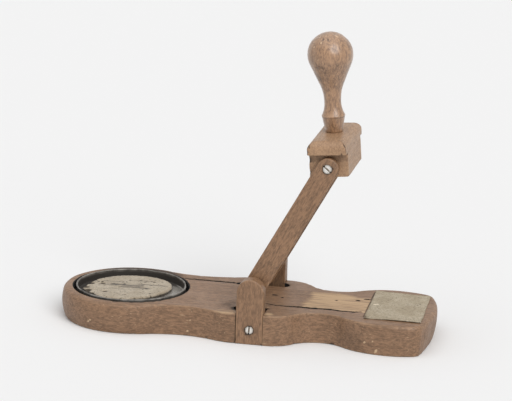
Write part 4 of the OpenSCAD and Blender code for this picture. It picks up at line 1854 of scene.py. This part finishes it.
@dataclass
class Lever:
    """The two arms and the rod that they turn on.

    Attributes:
        lean: How far the arms lean at rest, in degrees.
        reach: From the rod to the head's screws.
        width: An arm's width.
        thick: An arm's thickness.
        tail: How far an arm's lower round lies below the rod.
        inner: How far the arms' inner faces lie from the middle.
        rod_r: The rod's radius.
        rod_half: Half its length.
        rod_rub: How much the arms have worn off its radius.
    """

    lean: float = 28.7
    reach: float = 117.3
    width: float = 17.6
    thick: float = 7.0
    tail: float = 10.0
    inner: float = 31.95
    rod_r: float = 3.0
    rod_half: float = 49.1
    rod_rub: float = 0.06

    def build(self) -> list[Piece]:
        """Builds both arms and the rod."""
        return [self.arm(side) for side in Side] + [self.rod()]

    def arm(self, side: Side) -> Piece:
        """An arm: a flat bar with half round ends, its hole countersunk for the head's screw.

        Args:
            side: Its side.

        Returns:
            The arm.
        """
        half = self.width / 2
        low, high = -self.tail - half, self.reach + half
        loop = rounded([(-half, low), (half, low), (half, high), (-half, high)], (half - 0.01,) * 4, 1.1)
        core = np.column_stack([0 * loop[:, 0], np.clip(loop[:, 1], -self.tail, self.reach)])
        seed = 60 + side.sign
        tip = held((loop[:, 1] - 100) / 20)
        soft = 0.8 + 0.35 * tip + 0.22 * wander(len(loop), seed)
        place = facing(joint_place("lever_swing") + (0, side.sign * self.inner, 0), self.lean, side)
        piece = surface(
            side.value + "_arm_dressed", slab(loop, core, 0, self.thick, (0.7, soft), (7, 5, 7)), place
        )
        piece.data.materials.append(shared(ARM_WOOD))
        carved(piece, [arm_screw(side).hole(CUT_GAP)], shared(CREVICE_SHADE))
        weathered(
            piece, depth=0.12, length=26, seed=seed,
            dents=nicks(piece.data, 38, seed, radius=(0.6, 1.8), depth=(0.08, 0.28))
        )
        foot, end = (place.put(np.array([0, up, self.thick])) for up in (0, self.reach))
        # Painted shadow of the cheek at the arm's foot, darker round the screw at its end, and a faint wash
        # between.
        soil_and_shade = [(*foot, 15, 0.3), (*end, 5.0, 0.45), (*(foot * 0.62 + end * 0.38), 18, 0.08)]
        painted(piece.data, "soil_and_shade", blots(spots_of(piece.data), soil_and_shade))
        return ready(piece, "lever", side.value + "_arm", shared(ARM_WOOD))

    def rod(self) -> Piece:
        """The rod: a turned steel bar along Y, thinner where the arms' edges have rubbed it.

        Returns:
            The rod.
        """
        y = np.linspace(-self.rod_half, self.rod_half, 90)
        worn = sum(bell(np.abs(y) - at, 1.2) for at in (31.2, 39.8))
        line = np.column_stack([self.rod_r - self.rod_rub * worn, y])
        line[[0, -1], 0] -= 0.4
        line = np.concatenate([[(0, -self.rod_half)], line, [(0, self.rod_half)]])
        place = facing(joint_place("lever_swing"), 0, Side.REAR)
        piece = surface("pivot_rod_dressed", revolved(line, 48), place)
        weathered(piece, depth=0.04, length=6, seed=71)
        return ready(piece, "lever", "pivot_rod", shared(ROD_STEEL))


def arm_screw(side: Side) -> Screw:
    """The screw that holds the press head to the arm on one side.

    Args:
        side: The arm's side.

    Returns:
        The screw.
    """
    out = Lever.inner + Lever.thick - Base.screw_sink
    place = facing(joint_place("head_swing") + (0, side.sign * out, 0), Head.tilt, side)
    turn = -45 if side is Side.FRONT else 20
    return Screw(side.value + "_arm_screw", "head", place, head_r=3.6, shank_r=2.1, length=23, slot_turn=turn)


# Wear on the handle in its own axes, in rows for blots().
HANDLE_SOIL = [
    (-4.1, -16.8, 56.5, 3.4, 0.19), (0.9, -17.8, 58.2, 1.8, 0.24), (4.5, -16.3, 55.4, 3.2, 0.21),
    (-1.6, -14.2, 51.1, 4.5, 0.18), (2.1, -13.2, 50.1, 3.4, 0.18), (13.5, -11.7, 58.4, 2.6, 0.21),
    (10.9, -11.7, 53.6, 2.6, 0.21), (8.3, -14.9, 55.9, 2.2, 0.18), (-9.4, -14.3, 56.1, 3.4, 0.16),
    (-6.9, -9.2, 43.3, 4, 0.28), (-9, -10, 48, 4, 0.28), (-1.5, -9.2, 26, 2, 0.48), (-5, -7, 36, 3.4, 0.24),
    (6, -3, 18, 3, 0.24), (0, 0, 81, 6, 0.16), (-12, -9, 72, 4, 0.2), (14, -8, 68, 4, 0.16)
]
HANDLE_CHIPS = [
    (-6.3, -7.4, 78, 1.1, 0.8), (-10.6, -12.3, 71, 1, 0.8), (-4.6, -13.2, 74.2, 1.1, 0.8),
    (6.4, -6.5, 78.4, 1.1, 0.8), (8, -6.6, 77.6, 0.8, 0.8), (5.2, -17, 67, 0.9, 0.7),
    (-7.1, -16.8, 61.4, 0.8, 0.7), (12.3, -13.4, 60.3, 0.9, 0.7), (-1.3, -8.1, 78.8, 0.9, 0.7),
    (-11.4, -14.1, 64.9, 0.9, 0.6)
]


@dataclass
class Head:
    """The press head with its cap, the handle, the type plate and the screws it hangs from.

    Heights are up from the screws, or from the cap's top for the handle.

    Attributes:
        tilt: How far its own up leans from Z towards X, in degrees.
        width: The head's width along the board.
        half: Half its length across the board, under the cap.
        drop: How far it reaches below the screws.
        cap_rise: The height of the cap's underside.
        cap_top: The height of the cap's top.
        cap_half: Half the cap's length across the board.
        cap_round: The radius of the cap's upper edges.
        arris: The radius of the head's upright edges.
        foot_r: The radius of the handle's foot.
        collar_r: The radius of its collar.
        collar_rise: The collar's height.
        neck_r: The radius of its neck.
        neck_rise: The neck's height.
        flare: How far the knob's underside leans out, in degrees.
        knob_r: The knob's radius.
        knob_rise: The height of its centre.
        tenon_r: The radius of the tenon in the head.
        tenon_len: The tenon's length.
        plate: The type plate's width, length and thickness.
    """

    tilt: float = -5.0
    width: float = 31.5
    half: float = 31.65
    drop: float = 8.0
    cap_rise: float = 11.1
    cap_top: float = 22.2
    cap_half: float = 39.25
    cap_round: float = 7.0
    arris: float = 0.75
    foot_r: float = 7.0
    collar_r: float = 9.5
    collar_rise: float = 13.3
    neck_r: float = 6.75
    neck_rise: float = 24.3
    flare: float = 23.5
    knob_r: float = 18.3
    knob_rise: float = 62.5
    tenon_r: float = 5.0
    tenon_len: float = 13.9
    plate: tuple[float, float, float] = (20.0, 37.0, 3.0)

    def build(self) -> list[Piece]:
        """Builds the head, handle, plate and screws."""
        return [self.block(), self.handle(), self.type_plate()] + [arm_screw(side).build() for side in Side]

    @property
    def place(self) -> Place:
        """The head's axes: across, along Y, and up its own tilted axis, from its screws."""
        return leaning(joint_place("head_swing"), self.tilt)

    def block(self) -> Piece:
        """The head: a T outline in its Y and Z with rounded upper ends, carried across its width.

        At x from the middle, nothing stands higher than the cap's rounding there, so that the
        roundings of its ends and sides meet in mitres. The whole outline is inset round the
        arrises of the sides.

        Returns:
            The head.
        """
        y, over, big = self.half, self.cap_half, self.cap_round
        right = [(y, -self.drop), (y, self.cap_rise), (over, self.cap_rise), (over, self.cap_top)]
        corners = [(-y, -self.drop), *right] + [(-out, up) for out, up in right[:0:-1]]
        loop = rounded(corners, (0.9, 0.9, 0.35, 0.9, big, big, 0.9, 0.35), 0.7)
        normals = outward(loop)
        wide, small = self.width / 2, self.arris
        turn = np.linspace(0, np.pi / 2, 18)
        flat, bend, side = np.linspace(0, wide - big, 8)[:-1], big * np.sin(turn), small * np.sin(turn[::3])
        x = np.unique(np.concatenate([flat, wide - big + bend, wide - small + side]))
        x = x[np.append(np.diff(x) > 0.04, True)]
        x = np.concatenate([-x[:0:-1], x])
        top = self.cap_top - big + np.sqrt(big**2 - np.clip(np.abs(x) - wide + big, 0, big) ** 2)
        inset = small - np.sqrt(np.maximum(small**2 - np.clip(np.abs(x) - wide + small, 0, small) ** 2, 0))
        section = loop[None] - normals[None] * inset[:, None, None]
        high = np.minimum(section[..., 1], top[:, None])
        body = np.stack([np.broadcast_to(x[:, None], high.shape), section[..., 0], high], axis=2)

        def face(row: Points) -> Points:
            """The rows that close one side, from near its outline to the middle."""
            middle = (row[0, 0], 0, self.cap_rise + 1.6)
            return row + (middle - row) * np.linspace(0, 1, 15)[1:, None, None]

        rows = np.concatenate([face(body[0])[::-1], body, face(body[-1])])
        piece = surface("press_head_dressed", rows, self.place)
        weathered(
            piece, depth=0.16, length=24, seed=81,
            dents=nicks(piece.data, 40, 82, radius=(0.7, 2.0), depth=(0.08, 0.32))
        )
        spots = (spots_of(piece.data) - self.place.origin) @ self.place.axes.T
        # Painted shade under the cap on the block's ends and a painted shade line along the cap's mitres;
        # darker round the handle's foot.
        under = held((self.cap_rise + 1.0 - spots[:, 2]) / 5)
        under *= (np.abs(spots[:, 1]) > self.half - 0.6) * (spots[:, 2] > 4)
        foot = blots(spots, [(0, 0, self.cap_top, 9.5, 0.22)])
        past = np.abs(spots[:, :2]) - (self.width / 2 - self.cap_round, self.cap_half - self.cap_round)
        mitre_shade = bell(past[:, 0] - past[:, 1], 0.8)
        mitre_shade *= (past.min(axis=1) > 0.5) * (spots[:, 2] > self.cap_rise)
        painted(piece.data, "soil_and_shade", 0.4 * under + foot + 0.55 * mitre_shade)
        return ready(piece, "head", "press_head", shared(HEAD_WOOD))

    def profile(self) -> Points:
        """Half the handle's outline (r, z) above the cap.

        A straight foot widens to the collar's small bead. A cove touches the neck's upright line,
        a flare leaves it and runs straight on to touch the knob's circle.

        Returns:
            The outline's points, from the tenon's end to the knob's top.
        """
        bead, slope = 0.7, math.radians(self.flare)
        out, rise = self.collar_r - self.neck_r - bead / 3, self.neck_rise - self.collar_rise - bead
        cove_r = (rise * rise + out * out) / (2 * out)
        cove_from = 180 + math.degrees(math.asin(rise / cove_r))
        knob = np.array([0, self.knob_rise])
        join = knob + self.knob_r * np.array([math.cos(slope), -math.sin(slope)])
        lift = (join[1] - self.neck_rise) * math.tan(slope)
        flare_r = (self.neck_r - join[0] + lift) / (1 / math.cos(slope) - 1)
        c, z, f, t, end = self.collar_r, self.collar_rise, self.foot_r, self.tenon_r, -self.tenon_len
        line = np.concatenate([
            [(0, end), (t - 0.5, end), (t, end + 0.6), (t, 0.02)],
            [(f - 0.35, 0.02), (f - 0.05, 0.3), (f + 0.12, 0.9)],
            [
                (c - 0.32, z - 0.95), (c - 0.12, z - 0.5), (c - 0.01, z - 0.15), (c - 0.02, z + 0.2),
                (c - 0.13, z + 0.5)
            ],
            arc((self.neck_r + cove_r, self.neck_rise), cove_r, cove_from, 180, 0.9)[:-1],
            arc((self.neck_r + flare_r, self.neck_rise), flare_r, 180, 180 - self.flare, 1.1),
            arc(knob, self.knob_r, -self.flare, 90, 0.9),
        ])
        line[-1, 0] = 0
        return filled(line, 1.1, closed=False)

    def handle(self) -> Piece:
        """The handle: its outline turned, worn flatter here and there, with dents in the knob.

        Returns:
            The handle.
        """
        place = self.place.shifted((0, 0, self.cap_top))
        piece = surface("handle_dressed", revolved(self.profile(), 168), place)
        rng, many = np.random.default_rng(92), 46
        tall, a = rng.uniform(-0.7, 0.95, many), rng.uniform(0, 2 * np.pi, many)
        ring = np.sqrt(1 - tall**2) * self.knob_r
        spots = np.column_stack([ring * np.cos(a), ring * np.sin(a), self.knob_rise + tall * self.knob_r])
        dents = [place.put(spots), rng.uniform(0.7, 2.0, many), rng.uniform(0.08, 0.4, many)]
        weathered(piece, depth=0.16, length=15, seed=91, dents=np.column_stack(dents))
        own = (spots_of(piece.data) - place.origin) @ place.axes.T
        grip = 0.14 * held((own[:, 2] - 30) / 20) * held((68 - own[:, 2]) / 14)
        painted(piece.data, "soil_and_shade", grip + blots(own, HANDLE_SOIL))
        painted(piece.data, "chips", blots(own, HANDLE_CHIPS))
        return ready(piece, "head", "handle", shared(HANDLE_WOOD))

    def type_plate(self) -> Piece:
        """The blank type plate: a metal slab under the head with softened arrises.

        Returns:
            The plate.
        """
        w, l, t = self.plate
        loop = rounded([(-w / 2, -l / 2), (w / 2, -l / 2), (w / 2, l / 2), (-w / 2, l / 2)], (0.5,) * 4, 1.0)
        core = np.column_stack([0 * loop[:, 0], np.clip(loop[:, 1], -l / 2 + w / 2, l / 2 - w / 2)])
        rows = slab(loop, core, 0, t, (0.4, 0.15), (12, 4, 6))
        piece = surface("type_plate_dressed", rows, self.place.shifted((0, 0, -self.drop - t)))
        weathered(
            piece, depth=0.05, length=8, seed=95,
            dents=nicks(piece.data, 14, 96, radius=(0.4, 0.9), depth=(0.05, 0.15))
        )
        return ready(piece, "head", "type_plate", shared(TYPE_METAL))


# ---- Studio ----


@dataclass
class Studio:
    """A pale floor under soft light, and the camera.

    Attributes:
        azimuth: Where the camera stands round the press, in degrees from the front.
        elevation: How high it looks down from, in degrees.
        roll: How far the picture is turned clockwise, in degrees.
        distance: From the camera to its target.
        target: What it looks at.
        focal: The lens, in millimetres.
        sensor: The width of the lens's frame, in millimetres.
        floor_half: Half the floor's width.
        floor_drop: How far it lies below the board.
        pale: The grey of the floor and of what is seen beyond it.
        fill: The strength of the light from all round.
        lamps: Rows of (name, (azimuth, elevation), spread, strength).
    """

    azimuth: float = 10.89
    elevation: float = 14.58
    roll: float = 1.74
    distance: float = 2088.33
    target: tuple[float, float, float] = (-7.55, 0.0, 105.3)
    focal: float = 181.35
    sensor: float = 36.0
    floor_half: float = 9000.0
    floor_drop: float = 0.2
    pale: Colour = (0.87, 0.87, 0.87)
    fill: float = 0.45
    lamps: tuple = (("key", (38, 37), 36, 1.45), ("top", (-20, 78), 80, 0.98))

    def build(self) -> None:
        """Builds the floor, the light and the camera."""
        self.floor()
        self.world()
        for lamp in self.lamps:
            self.lamp(*lamp)
        self.camera()
        bpy.context.scene.view_settings.view_transform = "Standard"

    def floor(self) -> None:
        """A wide flat floor, a hair below the board, pale and matt."""
        rows = np.array([
            [(x, y, -self.floor_drop) for x in (-self.floor_half, self.floor_half)]
            for y in (-self.floor_half, self.floor_half)
        ])
        piece = surface("floor", rows, closed=False)
        material, _, shader = new_material("studio_floor")
        shader.inputs["Base Color"].default_value = opaque(self.pale)
        shader.inputs["Roughness"].default_value = 0.9
        shader.inputs["Specular IOR Level"].default_value = 0.0
        piece.data.materials.append(material)

    def world(self) -> None:
        """Even light from all round, and a pale surround for the camera and for reflections."""
        world = bpy.data.worlds.new("studio")
        world.use_nodes = True
        world.node_tree.nodes.clear()
        t = Tree(world.node_tree)
        light = t.add("Background", {"Color": (1, 1, 1, 1), "Strength": self.fill})
        seen = t.add("Background", {"Color": opaque(self.pale), "Strength": 1.0})
        path = t.add("LightPath").outputs
        mirrored = t.math("MAXIMUM", path["Is Glossy Ray"], path["Is Transmission Ray"])
        shown = t.math("MAXIMUM", path["Is Camera Ray"], mirrored)
        mix = t.add("MixShader", {0: shown, 1: light.outputs[0], 2: seen.outputs[0]})
        t.tree.links.new(mix.outputs[0], t.add("OutputWorld").inputs[0])
        bpy.context.scene.world = world

    def direction(self, azimuth: float, elevation: float) -> Points:
        """The unit direction from the press at an azimuth and elevation."""
        a, e = math.radians(azimuth), math.radians(elevation)
        return np.array([math.sin(a) * math.cos(e), -math.cos(a) * math.cos(e), math.sin(e)])

    def lamp(self, name: str, where: tuple[float, float], spread: float, strength: float) -> None:
        """Adds a soft lamp so far off that it lights the whole floor evenly.

        Args:
            name: Its name.
            where: Its azimuth and elevation.
            spread: How wide it looks from the press, in degrees.
            strength: Its light, in watts per square metre.
        """
        data = bpy.data.lights.new(name, "SUN")
        data.angle, data.energy = math.radians(spread), strength
        lamp = bpy.data.objects.new(name, data)
        back = Vector(self.direction(*where))
        lamp.location = back
        lamp.rotation_euler = (-back).to_track_quat("-Z", "Y").to_euler()
        bpy.context.scene.collection.objects.link(lamp)

    def camera(self) -> None:
        """Adds the camera, its right and up turned about its own axis by the roll."""
        back = self.direction(self.azimuth, self.elevation)
        right = np.array([math.cos(math.radians(self.azimuth)), math.sin(math.radians(self.azimuth)), 0])
        up = np.cross(back, right)
        c, s = math.cos(math.radians(self.roll)), math.sin(math.radians(self.roll))
        turned = np.array([right * c + up * s, up * c - right * s, back])
        data = bpy.data.cameras.new("camera")
        data.sensor_width, data.lens = self.sensor, self.focal
        data.clip_start, data.clip_end = 0.1, 60.0
        camera = bpy.data.objects.new("camera", data)
        place = Matrix.Translation((np.array(self.target) + back * self.distance) * MM)
        camera.matrix_world = place @ Matrix(turned.T.tolist()).to_4x4()
        bpy.context.scene.collection.objects.link(camera)
        bpy.context.scene.camera = camera


def main() -> None:
    """Builds each sub-assembly in order, then the studio."""
    logging.basicConfig(level=logging.INFO, format="%(message)s")
    for part in (Base(), InkWell(), Label(), Lever(), Head()):
        pieces = part.build()
        LOG.info("%s done: %d pieces", type(part).__name__, len(pieces))
    Studio().build()


if __name__ == "__main__":
    main()
